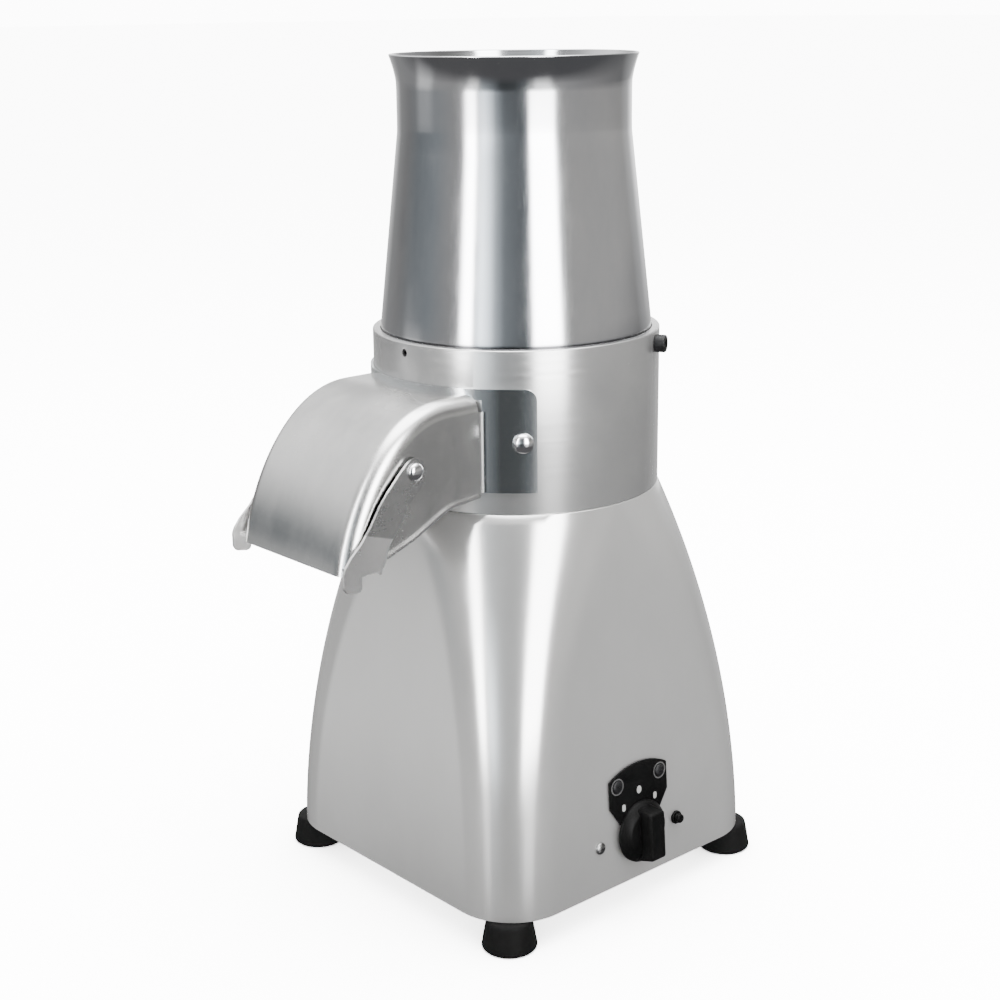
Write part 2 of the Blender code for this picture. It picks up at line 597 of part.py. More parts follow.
def build_chamber(surface, axis):
    """The bowl: a ring wall with a ledge for the hopper, a floor with a sealed boss, and a side window."""
    seat = HOPPER_RADIUS + GAP
    bore = SHAFT_RADIUS + RUNNING_CLEARANCE
    pocket = SEAL_RADIUS + GAP
    cove = 4 * MM
    profile = [(bore, CHAMBER_LOW), (CHAMBER_RADIUS, CHAMBER_LOW), (CHAMBER_RADIUS, CHAMBER_TOP - MM),
               (CHAMBER_RADIUS - MM, CHAMBER_TOP), (seat, CHAMBER_TOP), (seat, LEDGE),
               (CHAMBER_BORE_RADIUS, LEDGE), (CHAMBER_BORE_RADIUS, FLOOR_TOP + cove),
               (CHAMBER_BORE_RADIUS - cove, FLOOR_TOP), (CHAMBER_BOSS_RADIUS, FLOOR_TOP),
               (CHAMBER_BOSS_RADIUS, BOSS_TOP), (pocket, BOSS_TOP),
               (pocket, BOSS_TOP - SEAL_WIDTH - MM), (bore, BOSS_TOP - SEAL_WIDTH - MM)]
    chamber = finish("chamber_body", turned(profile, 32), surface, axis)
    window = box((-CHAMBER_RADIUS - 5 * MM, -WINDOW_HALF_WIDTH, WINDOW_LOW),
                 (-CHAMBER_BORE_RADIUS * 0.75, WINDOW_HALF_WIDTH, WINDOW_LOW + WINDOW_HEIGHT))
    cut(chamber, window, "window")
    holes = []
    for angle in (45, 135, 225, 315):
        spot = arc((0, 0), CHAMBER_BOLT_CIRCLE, angle, angle, 1)[0]
        holes.append(rod(CHAMBER_BOLT_RADIUS + 2 * GAP, CHAMBER_LOW - MM, FLOOR_TOP - 3 * MM, spot, 8))
    for angle, height, radius in radial_screws():
        drill = along_x(rod(radius + GAP, CHAMBER_BORE_RADIUS - 5 * MM, CHAMBER_RADIUS + 5 * MM, segments=10),
                        height)
        holes.append(moved(drill, about_z(angle)))
    return cut(chamber, merged(holes), "screw_holes")


def radial_screws():
    """Angle, height and shank radius of each screw that points at the machine's axis."""
    return ((180 - EAR_SCREW_ANGLE, EAR_SCREW_HEIGHT, EAR_SCREW_RADIUS),
            (180 + EAR_SCREW_ANGLE, EAR_SCREW_HEIGHT, EAR_SCREW_RADIUS),
            (CLAMP_ANGLE, CLAMP_HEIGHT, CLAMP_SCREW_RADIUS),
            (-CLAMP_ANGLE, CLAMP_HEIGHT, CLAMP_SCREW_RADIUS),
            (180, STOP_HEIGHT, STOP_SCREW_RADIUS))


def radial(piece, angle, radius, height):
    """Stand a screw on the chamber's wall: its Z axis points away from the machine's axis."""
    outwards = Matrix.Rotation(math.radians(90), 4, "Y")
    return moved(piece, about_z(angle) @ Matrix.Translation((radius, 0, height)) @ outwards)


def build_chamber_screws(black, steel, axis):
    """Two clamp screws and a stop screw that hold the hopper, and two screws that hold the hood."""
    tip = CHAMBER_RADIUS - HOPPER_RADIUS - GAP
    for name, side in (("rear", 1), ("front", -1)):
        screw = socket_screw(CLAMP_SCREW_RADIUS, tip + GAP, CLAMP_HEAD_RADIUS, CLAMP_HEAD_HEIGHT)
        spot = CHAMBER_RADIUS + GAP
        finish("hopper_clamp_screw_" + name, radial(screw, side * CLAMP_ANGLE, spot, CLAMP_HEIGHT), black, axis)
    socket = STOP_SCREW_RADIUS * 0.5
    deep = -STOP_RECESS - 1.5 * MM
    profile = ((0.0, -tip), (STOP_SCREW_RADIUS, -tip), (STOP_SCREW_RADIUS, -STOP_RECESS), (socket, -STOP_RECESS),
               (socket, deep), (0.0, deep))
    stop = radial(turned(profile, 10), 180, CHAMBER_RADIUS, STOP_HEIGHT)
    finish("hopper_stop_screw", stop, black, axis)
    seat = EAR_RADIUS + HOOD_SHEET + GAP
    length = seat - CHAMBER_BORE_RADIUS - 1.2 * MM
    for name, side in (("rear", -1), ("front", 1)):
        screw = domed_screw(EAR_SCREW_RADIUS, length, DOME_RADIUS, 4.4 * MM)
        angle = 180 + side * EAR_SCREW_ANGLE
        finish("hood_screw_" + name, radial(screw, angle, seat, EAR_SCREW_HEIGHT), steel, axis)


def build_hopper(surface, axis):
    """The tapered feed tube with its flared rim, one sheet thick."""
    low = LEDGE + GAP
    neck_low = CHAMBER_TOP + HOPPER_CONE_HEIGHT
    neck_high = neck_low + HOPPER_NECK_HEIGHT
    top = neck_high + HOPPER_FLARE_HEIGHT
    outer = [(HOPPER_RADIUS, low), (HOPPER_RADIUS, CHAMBER_TOP + 2 * MM), (HOPPER_NECK_RADIUS, neck_low),
             (HOPPER_NECK_RADIUS, neck_high)]
    for i in range(1, 4):
        share = i / 3
        outer.append((HOPPER_NECK_RADIUS + (HOPPER_RIM_RADIUS - HOPPER_NECK_RADIUS) * share ** 1.5,
                      neck_high + (top - neck_high) * share))
    inner = [(radius - HOPPER_SHEET, height) for radius, height in reversed(outer)]
    return finish("hopper", turned(outer + inner, 32), surface, axis)


def build_shaft(surface, axis):
    """The stepped shaft that runs from the fan to the thread of the disc's nut."""
    shoulder = EJECTOR_LOW - GAP
    upper_seat = MOTOR_TOP - 8 * MM
    profile = ((0.0, FAN_LOW - 2 * MM), (FAN_SEAT_RADIUS, FAN_LOW - 2 * MM),
               (FAN_SEAT_RADIUS, FAN_LOW + FAN_HEIGHT + GAP), (SPINDLE_RADIUS, FAN_LOW + FAN_HEIGHT + GAP),
               (SPINDLE_RADIUS, LOWER_SHIELD_TOP + SHIELD_SPIGOT), (ROTOR_SEAT_RADIUS, STATOR_LOW - 10 * MM),
               (ROTOR_SEAT_RADIUS, upper_seat - UPPER_BEARING_WIDTH - 2 * MM),
               (SHAFT_RADIUS, upper_seat - UPPER_BEARING_WIDTH - 2 * MM), (SHAFT_RADIUS, shoulder),
               (SPINDLE_RADIUS, shoulder), (SPINDLE_RADIUS, DISC_HUB_TOP), (NUT_THREAD_RADIUS, DISC_HUB_TOP),
               (NUT_THREAD_RADIUS, DISC_HUB_TOP + NUT_HEIGHT - 6 * MM),
               (0.0, DISC_HUB_TOP + NUT_HEIGHT - 6 * MM))
    return finish("drive_shaft", turned(profile, 14), surface, axis)


def build_motor_case(painted, axis):
    """The ribbed frame and the two end shields; the upper one is the flange that hangs from the deck."""
    outline = []
    inside = []
    pitch = 360 / MOTOR_RIBS
    for i in range(MOTOR_RIBS):
        for j, (offset, height) in enumerate(((-0.16, 0.0), (-0.12, MOTOR_RIB_HEIGHT), (0.12, MOTOR_RIB_HEIGHT),
                                              (0.16, 0.0))):
            angle = pitch * (i + 0.5 + offset)
            even = pitch * (i + 0.125 + j / 4)
            outline += arc((0, 0), MOTOR_FRAME_RADIUS + height, angle, angle, 1)[:1]
            inside += arc((0, 0), FRAME_BORE_RADIUS, even, even, 1)[:1]
    frame = tube_between(outline, inside, FRAME_LOW, FRAME_TOP)
    finish("motor_frame", frame, painted, axis)
    spigot = FRAME_BORE_RADIUS - GAP
    hollow = spigot - 6 * MM
    pocket = UPPER_BEARING_RADIUS + GAP
    bore = SHAFT_RADIUS + RUNNING_CLEARANCE
    flange_low = MOTOR_TOP - MOTOR_FLANGE_THICKNESS
    seat = MOTOR_TOP - 8 * MM
    profile = ((bore, MOTOR_TOP), (MOTOR_FLANGE_RADIUS, MOTOR_TOP), (MOTOR_FLANGE_RADIUS, flange_low),
               (MOTOR_FRAME_RADIUS, flange_low), (MOTOR_FRAME_RADIUS, SHIELD_LOW), (spigot, SHIELD_LOW),
               (spigot, SHIELD_LOW - SHIELD_SPIGOT), (hollow, SHIELD_LOW - SHIELD_SPIGOT),
               (hollow, SHIELD_LOW + 18 * MM), (pocket + 7 * MM, SHIELD_LOW + 18 * MM),
               (pocket + 7 * MM, seat - UPPER_BEARING_WIDTH), (pocket, seat - UPPER_BEARING_WIDTH),
               (pocket, seat + GAP), (bore, seat + GAP))
    upper = finish("motor_upper_shield", turned(profile, 20), painted, axis)
    holes = []
    for angle in (45, 135, 225, 315):
        spot = arc((0, 0), CHAMBER_BOLT_CIRCLE, angle, angle, 1)[0]
        holes.append(rod(CHAMBER_BOLT_RADIUS + 2 * GAP, flange_low - MM, MOTOR_TOP + MM, spot, 10))
        spot = arc((0, 0), TIE_BOLT_CIRCLE, angle - 45, angle - 45, 1)[0]
        holes.append(rod(TIE_BOLT_RADIUS + GAP, flange_low - MM, MOTOR_TOP - 2 * MM, spot, 8))
    cut(upper, merged(holes), "holes")
    build_lower_shield(painted, axis, spigot, hollow)


def build_lower_shield(painted, axis, spigot, hollow):
    """The end shield over the fan, with four ears for the tie bolts."""
    pocket = LOWER_BEARING_RADIUS + GAP
    bore = SPINDLE_RADIUS + RUNNING_CLEARANCE
    seat = LOWER_SHIELD_TOP - LOWER_BEARING_WIDTH - 2 * GAP
    profile = ((bore, LOWER_SHIELD_LOW), (MOTOR_FRAME_RADIUS - 3 * MM, LOWER_SHIELD_LOW),
               (MOTOR_FRAME_RADIUS, LOWER_SHIELD_LOW + 3 * MM), (MOTOR_FRAME_RADIUS, LOWER_SHIELD_TOP),
               (spigot, LOWER_SHIELD_TOP), (spigot, LOWER_SHIELD_TOP + SHIELD_SPIGOT),
               (hollow, LOWER_SHIELD_TOP + SHIELD_SPIGOT), (hollow, LOWER_SHIELD_LOW + 6 * MM),
               (pocket + 7 * MM, LOWER_SHIELD_LOW + 6 * MM), (pocket + 7 * MM, LOWER_SHIELD_TOP),
               (pocket, LOWER_SHIELD_TOP), (pocket, seat), (bore, seat))
    lower = finish("motor_lower_shield", turned(profile, 20), painted, axis)
    ear_low = LOWER_SHIELD_TOP - 7 * MM
    ears = []
    holes = []
    for angle in (0, 90, 180, 270):
        ear = box((MOTOR_FRAME_RADIUS - 5 * MM, -7 * MM, ear_low),
                  (TIE_BOLT_CIRCLE + TIE_BOLT_RADIUS + 4 * MM, 7 * MM, LOWER_SHIELD_TOP))
        ears.append(moved(ear, about_z(angle)))
        spot = arc((0, 0), TIE_BOLT_CIRCLE, angle, angle, 1)[0]
        holes.append(rod(TIE_BOLT_RADIUS + GAP, ear_low - MM, LOWER_SHIELD_TOP + MM, spot, 8))
    join(lower, merged(ears), "ears")
    cut(lower, merged(holes), "holes")


def build_motor_bolts(steel, axis):
    """Tie bolts through the end shields, and the bolts that hold chamber, deck and motor together."""
    ear_low = LOWER_SHIELD_TOP - 7 * MM
    flange_low = MOTOR_TOP - MOTOR_FLANGE_THICKNESS
    upside_down = Matrix.Rotation(math.radians(180), 4, "X")
    for i in range(4):
        spot = arc((0, 0), TIE_BOLT_CIRCLE, 90 * i, 90 * i, 1)[0]
        length = MOTOR_TOP - 3 * MM - (ear_low - GAP)
        bolt = headed_bolt(TIE_BOLT_RADIUS, length, TIE_BOLT_RADIUS * 1.68, TIE_BOLT_RADIUS * 1.6)
        shift = Matrix.Translation((spot[0], spot[1], ear_low - GAP)) @ upside_down
        finish("tie_bolt_" + str(i + 1), moved(bolt, shift), steel, axis)
        spot = arc((0, 0), CHAMBER_BOLT_CIRCLE, 45 + 90 * i, 45 + 90 * i, 1)[0]
        length = FLOOR_TOP - 4 * MM - (flange_low - GAP)
        bolt = headed_bolt(CHAMBER_BOLT_RADIUS, length, CHAMBER_BOLT_RADIUS * 1.6, CHAMBER_BOLT_RADIUS * 2)
        shift = Matrix.Translation((spot[0], spot[1], flange_low - GAP)) @ upside_down
        finish("chamber_bolt_" + str(i + 1), moved(bolt, shift), steel, axis)


def build_bearings(steel, rubber, axis):
    """The two ball bearings as closed rings, and the lip seal over the upper one."""
    def ring(name, inside, outside, low, width, surface):
        profile = ((inside, low), (outside, low), (outside, low + width), (inside, low + width))
        finish(name, turned(profile, 20), surface, axis)

    upper = MOTOR_TOP - 8 * MM - UPPER_BEARING_WIDTH
    lower = LOWER_SHIELD_TOP - LOWER_BEARING_WIDTH - GAP
    ring("upper_bearing", SHAFT_RADIUS + SHAFT_CLEARANCE, UPPER_BEARING_RADIUS, upper, UPPER_BEARING_WIDTH, steel)
    ring("lower_bearing", SPINDLE_RADIUS + SHAFT_CLEARANCE, LOWER_BEARING_RADIUS, lower, LOWER_BEARING_WIDTH,
         steel)
    seal_low = BOSS_TOP - SEAL_WIDTH - MM + GAP
    ring("shaft_seal", SHAFT_RADIUS + SHAFT_CLEARANCE, SEAL_RADIUS, seal_low, SEAL_WIDTH, rubber)


def build_windings(core_steel, copper, axis):
    """The slotted stator core, the winding that fills its slots, and the rotor core on the shaft."""
    outer = []
    inner = []
    pitch = 360 / STATOR_SLOTS
    slot_bottom = SLOT_BOTTOM_RADIUS
    for i in range(STATOR_SLOTS):
        for share, radius in ((0.02, STATOR_BORE_RADIUS), (0.48, STATOR_BORE_RADIUS), (0.52, slot_bottom),
                              (0.98, slot_bottom)):
            angle = pitch * (i + share)
            inner += arc((0, 0), radius, angle, angle, 1)[:1]
            outer += arc((0, 0), FRAME_BORE_RADIUS - GAP, angle, angle, 1)[:1]
    finish("stator_core", tube_between(outer, inner, STATOR_LOW, STATOR_TOP), core_steel, axis)
    coil_inside = STATOR_BORE_RADIUS + (slot_bottom - STATOR_BORE_RADIUS) * 0.24
    coil_outside = slot_bottom - (slot_bottom - STATOR_BORE_RADIUS) * 0.06
    overhang = 18 * MM
    profile = ((coil_inside, STATOR_TOP + GAP), (coil_outside, STATOR_TOP + GAP),
               (coil_outside + 2 * MM, STATOR_TOP + overhang * 0.5), (coil_outside - MM, STATOR_TOP + overhang),
               (coil_inside + 2 * MM, STATOR_TOP + overhang))
    winding = finish("stator_winding", turned(profile, 20), copper, axis)
    mirrored = [(radius, STATOR_LOW + STATOR_TOP - height) for radius, height in profile]
    join(winding, turned(mirrored, 20), "lower_turns")
    bars = []
    half = coil_inside * math.sin(math.pi / STATOR_SLOTS) * 0.36
    for i in range(STATOR_SLOTS):
        bar = box((coil_inside + MM, -half, STATOR_LOW - half), (coil_outside - MM, half, STATOR_TOP + half))
        bars.append(moved(bar, about_z(pitch * (i + 0.75))))
    join(winding, merged(bars), "slot_bars")
    bore = ROTOR_SEAT_RADIUS + SHAFT_CLEARANCE
    profile = ((bore, STATOR_LOW), (ROTOR_RADIUS - 4 * MM, STATOR_LOW - 6 * MM), (ROTOR_RADIUS - MM, STATOR_LOW),
               (ROTOR_RADIUS, STATOR_LOW), (ROTOR_RADIUS, STATOR_TOP), (ROTOR_RADIUS - MM, STATOR_TOP),
               (ROTOR_RADIUS - 4 * MM, STATOR_TOP + 6 * MM), (bore, STATOR_TOP))
    finish("rotor_core", turned(profile, 18), core_steel, axis)


def build_fan(plastic, painted, axis):
    """The cooling fan on the shaft's lower end, and its slotted cover."""
    bore = FAN_SEAT_RADIUS + SHAFT_CLEARANCE
    top = FAN_LOW + FAN_HEIGHT
    profile = ((bore, FAN_LOW), (bore + 6 * MM, FAN_LOW), (bore + 6 * MM, top - 2 * MM),
               (FAN_RADIUS, top - 2 * MM), (FAN_RADIUS, top), (bore, top))
    fan = finish("cooling_fan", turned(profile, 20), plastic, axis)
    blades = [moved(box((bore + 5 * MM, -MM, FAN_LOW + 3 * MM), (FAN_RADIUS - 2 * MM, MM, top - MM)),
                    about_z(360 * i / FAN_BLADES)) for i in range(FAN_BLADES)]
    join(fan, merged(blades), "blades")
    inside = COVER_RADIUS
    outside = inside + 1.5 * MM
    low = FAN_LOW - 10 * MM
    high = LOWER_SHIELD_TOP - 9 * MM
    inlet = 14 * MM
    profile = ((inlet, low), (outside - 4 * MM, low), (outside, low + 4 * MM), (outside, high), (inside, high),
               (inside, low + 5 * MM), (inside - 3.5 * MM, low + 1.5 * MM), (inlet, low + 1.5 * MM))
    cover = finish("fan_cover", turned(profile, 20), painted, axis)
    slots = [moved(box((inlet + 8 * MM, -3.5 * MM, low - MM), (FAN_RADIUS, 3.5 * MM, low + 3 * MM)), about_z(45 * i))
             for i in range(8)]
    return cut(cover, merged(slots), "slots")


def build_ejector(surface, axis):
    """The hub with upright vanes that sweep the gratings out through the window."""
    bore = SPINDLE_RADIUS + SHAFT_CLEARANCE
    hub_top = EJECTOR_TOP
    profile = ((bore, EJECTOR_LOW), (HUB_RADIUS, EJECTOR_LOW), (HUB_RADIUS, hub_top),
               (bore, hub_top))
    ejector = finish("ejector", turned(profile, 24), surface, axis)
    reach = CHAMBER_BORE_RADIUS - 3 * RUNNING_CLEARANCE
    low = FLOOR_TOP + 2 * RUNNING_CLEARANCE
    high = EJECTOR_TOP - RUNNING_CLEARANCE
    inner = CHAMBER_BOSS_RADIUS + 2 * RUNNING_CLEARANCE
    chamfer = 6 * MM
    outline = ((HUB_RADIUS - 2 * MM, EJECTOR_LOW + 2 * MM), (inner, EJECTOR_LOW + 2 * MM), (inner, low),
               (reach - chamfer, low), (reach, low + chamfer), (reach, high - 2 * chamfer),
               (reach - 2 * chamfer, high), (HUB_RADIUS - 2 * MM, high))
    half = EJECTOR_VANE_THICKNESS / 2
    vanes = [moved(extruded(outline, -half, half, "y"), about_z(360 * i / EJECTOR_VANES + 20))
             for i in range(EJECTOR_VANES)]
    return join(ejector, merged(vanes), "vanes")


def build_disc(surface, axis):
    """The grating disc: rows of raised teeth, each over the slot that its gratings fall through."""
    bore = SPINDLE_RADIUS + SHAFT_CLEARANCE
    reach = DISC_RADIUS
    top = DISC_LOW + DISC_THICKNESS
    profile = ((bore, DISC_HUB_LOW), (HUB_RADIUS, DISC_HUB_LOW), (HUB_RADIUS, DISC_LOW),
               (reach, DISC_LOW), (reach, top - 0.5 * MM), (reach - 0.5 * MM, top), (HUB_RADIUS, top),
               (HUB_RADIUS - MM, DISC_HUB_TOP), (bore, DISC_HUB_TOP))
    disc = finish("grating_disc", turned(profile, 28), surface, axis)
    teeth = []
    slots = []
    root = top - 0.4 * MM
    half = TOOTH_WIDTH / 2
    lip = ((0.0, root), (0.0, top + TOOTH_HEIGHT), (-0.8 * MM, top + TOOTH_HEIGHT), (-TOOTH_LENGTH, root))
    for row, (share, count) in enumerate(TOOTH_ROWS):
        radius = share * DISC_RADIUS
        for i in range(count):
            angle = 360 * (i + 0.5 * (row % 2)) / count
            tooth = extruded(lip, radius - half, radius + half, "x")
            teeth.append(moved(tooth, about_z(angle)))
            slot = box((radius - half + 0.4 * MM, 0.15 * MM, DISC_LOW - MM),
                       (radius + half - 0.4 * MM, TOOTH_SLOT, top + MM))
            slots.append(moved(slot, about_z(angle)))
    join(disc, merged(teeth), "teeth")
    return cut(disc, merged(slots), "slots")


def build_disc_nut(surface, axis):
    """The fluted hand nut that holds the grating disc on the shaft."""
    low = DISC_HUB_TOP + GAP
    high = DISC_HUB_TOP + NUT_HEIGHT
    bore = NUT_THREAD_RADIUS + SHAFT_CLEARANCE
    profile = [(bore, low), (NUT_RADIUS - MM, low), (NUT_RADIUS, low + MM), (NUT_RADIUS, high - 7 * MM)]
    profile += [(NUT_RADIUS * 0.93, high - 4 * MM), (NUT_RADIUS * 0.7, high - 1.3 * MM), (0.0, high)]
    profile += [(0.0, high - 5 * MM), (bore, high - 5 * MM)]
    nut = finish("disc_nut", turned(profile, 20), surface, axis)
    flutes = [rod(4 * MM, low - MM, high + MM, arc((0, 0), NUT_RADIUS + 2 * MM, 72 * i, 72 * i, 1)[0], 10)
              for i in range(NUT_FLUTES)]
    return cut(nut, merged(flutes), "flutes")


def from_chamber(point):
    """A point of the hood's side view, from its length out of the chamber's wall and its height."""
    return (-CHAMBER_RADIUS - point[0], CHAMBER_LOW + point[1])


def hood_curve(inset, steps=10):
    """The hood's roof and front in side view, from the chamber to the mouth, set in by a distance."""
    start = Vector((-CHAMBER_RADIUS - HOOD_ROOF_LENGTH, HOOD_TOP))
    first = Vector((-CHAMBER_RADIUS - HOOD_ROOF_HANDLE, HOOD_TOP))
    second = Vector(from_chamber(HOOD_FRONT_HANDLE))
    end = Vector((HOOD_FRONT, HOOD_MOUTH))
    points = []
    for i in range(steps + 1):
        t = i / steps
        point = start * (1 - t) ** 3 + first * 3 * t * (1 - t) ** 2 + second * 3 * t * t * (1 - t) + end * t ** 3
        slope = (first - start) * (1 - t) ** 2 + (second - first) * 2 * t * (1 - t) + (end - second) * t * t
        slope.normalize()
        points.append((point.x - slope.y * inset, point.y + slope.x * inset))
    return points


def hood_prism(curve, floor, half_width, edge_radius, edge_steps):
    """A prism across Y from the side view, its upper edges rounded."""
    work = extruded(list(curve) + list(floor), -half_width, half_width, "y")
    bmesh.ops.recalc_face_normals(work, faces=work.faces)
    count = len(curve) + len(floor)
    roof = []
    for edge in work.edges:
        a, b = edge.verts
        along = abs(a.co.y - b.co.y) < TINY
        if along and roof_edge(a.co, curve) and roof_edge(b.co, curve):
            roof.append(edge)
    if count and edge_radius > 0:
        bmesh.ops.bevel(work, geom=roof, offset=edge_radius, segments=edge_steps, profile=0.5,
                        affect="EDGES", clamp_overlap=True)
    return work


def roof_edge(point, curve):
    return any(abs(point.x - x) < TINY and abs(point.z - z) < TINY for x, z in curve)


def build_hood(surface, axis):
    """The sheet hood: roof and front in one curve with rounded edges, side walls, floor and ears."""
    root = -CHAMBER_RADIUS + HOOD_ROOT_DEPTH
    tip, bend, step, near = [from_chamber(point) for point in HOOD_FLOOR]
    floor = [tip, bend, step, near, (root, HOOD_FLOOR_ROOT)]
    mouth = [(HOOD_FRONT + 1.5 * HOOD_SHEET, HOOD_MOUTH)]
    curve = [(root, HOOD_TOP)] + hood_curve(0.0)
    outer = hood_prism(curve, mouth + floor, HOOD_HALF_WIDTH, HOOD_EDGE_RADIUS, 3)
    hood = finish("outlet_hood", outer, surface, axis)
    sheet = HOOD_SHEET
    inside = hood_curve(sheet)
    beyond = root + 2 * HOOD_ROOT_DEPTH
    low = HOOD_MOUTH - 10 * HOOD_SHEET
    inner_curve = [(beyond, HOOD_TOP - sheet)] + inside
    end = inside[-1]
    inner_floor = [(end[0], low), (tip[0] - MM, low), (tip[0] - MM, tip[1] + sheet), (bend[0], bend[1] + sheet),
                   (step[0], step[1] + sheet), (near[0], near[1] + sheet), (root, HOOD_FLOOR_ROOT + sheet),
                   (beyond, HOOD_FLOOR_ROOT + sheet)]
    hollow = hood_prism(inner_curve, inner_floor, HOOD_HALF_WIDTH - sheet, HOOD_EDGE_RADIUS - sheet, 3)
    cut(hood, hollow, "hollow")
    lip = [(tip[0], tip[1]), (bend[0], bend[1]), (step[0], step[1]), (near[0], near[1]), (root, HOOD_FLOOR_ROOT),
           (root, HOOD_FLOOR_ROOT + sheet), (near[0], near[1] + sheet), (step[0], step[1] + sheet),
           (bend[0], bend[1] + sheet), (tip[0], tip[1] + sheet)]
    join(hood, extruded(lip, -HOOD_HALF_WIDTH - HOOD_LIP, HOOD_HALF_WIDTH + HOOD_LIP, "y"), "floor_lip")
    wide = HOOD_HALF_WIDTH + HOOD_LIP + 3 * MM
    cut(hood, side_slots(HOOD_HALF_WIDTH - SLOT_DEPTH, wide), "side_slots")
    under = box((HOOD_FRONT + 1.5 * sheet, -wide, HOOD_MOUTH - 2 * sheet),
                (tip[0] - sheet / 4, wide, CHAMBER_LOW - HOOD_SIDE_DROP))
    cut(hood, under, "mouth")
    bore = rod(EAR_RADIUS, STAND_TOP, CHAMBER_TOP, segments=60)
    cut(hood, bore, "chamber_seat")
    join(hood, wrapped(ear_cells(), EAR_RADIUS, HOOD_SHEET), "ears")
    holes = []
    for angle, height, radius in radial_screws()[:2]:
        drill = along_x(rod(radius + GAP, CHAMBER_RADIUS - 2 * MM, CHAMBER_RADIUS + 8 * MM, segments=10), height)
        holes.append(moved(drill, about_z(angle)))
    pivot = rod(PIVOT_RADIUS + GAP, -wide, wide, segments=16)
    pivot = moved(pivot, Matrix.Translation((FLAP_PIVOT[0], 0, FLAP_PIVOT[1]))
                  @ Matrix.Rotation(math.radians(90), 4, "X"))
    holes.append(pivot)
    return cut(hood, merged(holes), "holes")


def side_slots(keep, wide):
    """The slot between rounded edge and side wall, on each side, from the mouth up to the pivot."""
    outline = [from_chamber(point) for point in SIDE_SLOT]
    return merged([extruded(outline, -wide, -keep, "y"), extruded(outline, keep, wide, "y")])


def ear_cells():
    """Cells of the ears and the flange that joins them above the roof, as corners (angle, height)."""
    step = HOOD_TOP - FLANGE_LAP
    side = []
    for i in range(4):
        turn = math.radians(30 * i)
        in_by = math.degrees(EAR_CORNER * (1 - math.cos(turn)) / (EAR_RADIUS + HOOD_SHEET / 2))
        side.append((EAR_END_ANGLE - in_by, EAR_TOP - EAR_CORNER * (1 - math.sin(turn))))
    side += [((side[-1][0] + EAR_START_ANGLE * 2) / 3, EAR_TOP), ((side[-1][0] * 2 + EAR_START_ANGLE) / 3, EAR_TOP)]
    side = side[:4] + [side[5], side[4], (EAR_START_ANGLE, EAR_TOP)]
    cells = []
    for way in (-1, 1):
        for here, after in zip(side, side[1:]):
            cell = [(180 + way * here[0], EAR_BOTTOM), (180 + way * after[0], EAR_BOTTOM)]
            if after is side[-1]:
                cell.append((180 + way * after[0], step))
            cell += [(180 + way * after[0], after[1]), (180 + way * here[0], here[1])]
            cells.append(cell if way < 0 else cell[::-1])
    count = 16
    angles = [180 + EAR_START_ANGLE * (2 * i / count - 1) for i in range(count + 1)]
    for here, after in zip(angles, angles[1:]):
        cells.append([(here, step), (after, step), (after, EAR_TOP), (here, EAR_TOP)])
    return cells


def wrapped(cells, radius, thickness):
    """A sheet wrapped round the Z axis, from flat cells whose corners are (angle, height)."""
    work = bmesh.new()
    sides = []
    for reach in (radius, radius + thickness):
        corners = {}
        for angle, height in [corner for cell in cells for corner in cell]:
            key = (round(angle, 4), round(height, 6))
            if key not in corners:
                x, y = arc((0, 0), reach, angle, angle, 1)[0]
                corners[key] = work.verts.new((x, y, height))
        sides.append(corners)
    inner, outer = sides
    loops = [[(round(angle, 4), round(height, 6)) for angle, height in cell] for cell in cells]
    edges = set()
    for loop in loops:
        work.faces.new([outer[key] for key in loop])
        work.faces.new([inner[key] for key in reversed(loop)])
        edges.update(zip(loop, loop[1:] + loop[:1]))
    for a, b in edges:
        if (b, a) not in edges:
            work.faces.new((outer[b], outer[a], inner[a], inner[b]))
    return work


def flap_arm():
    """The side view of one flap arm about its pivot: a head, a tapered blade and a tab."""
    outline = arc((0.0, 0.0), FLAP_HEAD_RADIUS, -35, 132, 6)
    return outline + [(x * MM, z * MM) for x, z in FLAP_ARM]


def build_flap(surface, pivot):
    """The outlet flap: two arms outside the hood, joined by a folded plate below the mouth."""
    inside = FLAP_INSIDE
    outside = inside + FLAP_SHEET
    flap = finish("outlet_flap", extruded(flap_arm(), -outside, -inside, "y"), surface, pivot)
    join(flap, extruded(flap_arm(), inside, outside, "y"), "far_arm")
    low = -FLAP_DROP
    high = low + FLAP_SHEET
    lap = FLAP_SHEET / 2
    outline = ((-FLAP_NEAR, low), (-FLAP_FAR, low), (-FLAP_FAR, high), (-FLAP_NEAR, high))
    join(flap, extruded(outline, -inside - lap, inside + lap, "y"), "plate")
    fold = box((-FLAP_NEAR - FLAP_SHEET, -inside - lap, low - FLAP_FOLD), (-FLAP_NEAR, inside + lap, low + lap))
    join(flap, fold, "fold")
    bore = moved(rod(PIVOT_RADIUS + GAP, -outside - MM, outside + MM), Matrix.Rotation(math.radians(90), 4, "X"))
    return cut(flap, bore, "pivot_holes")


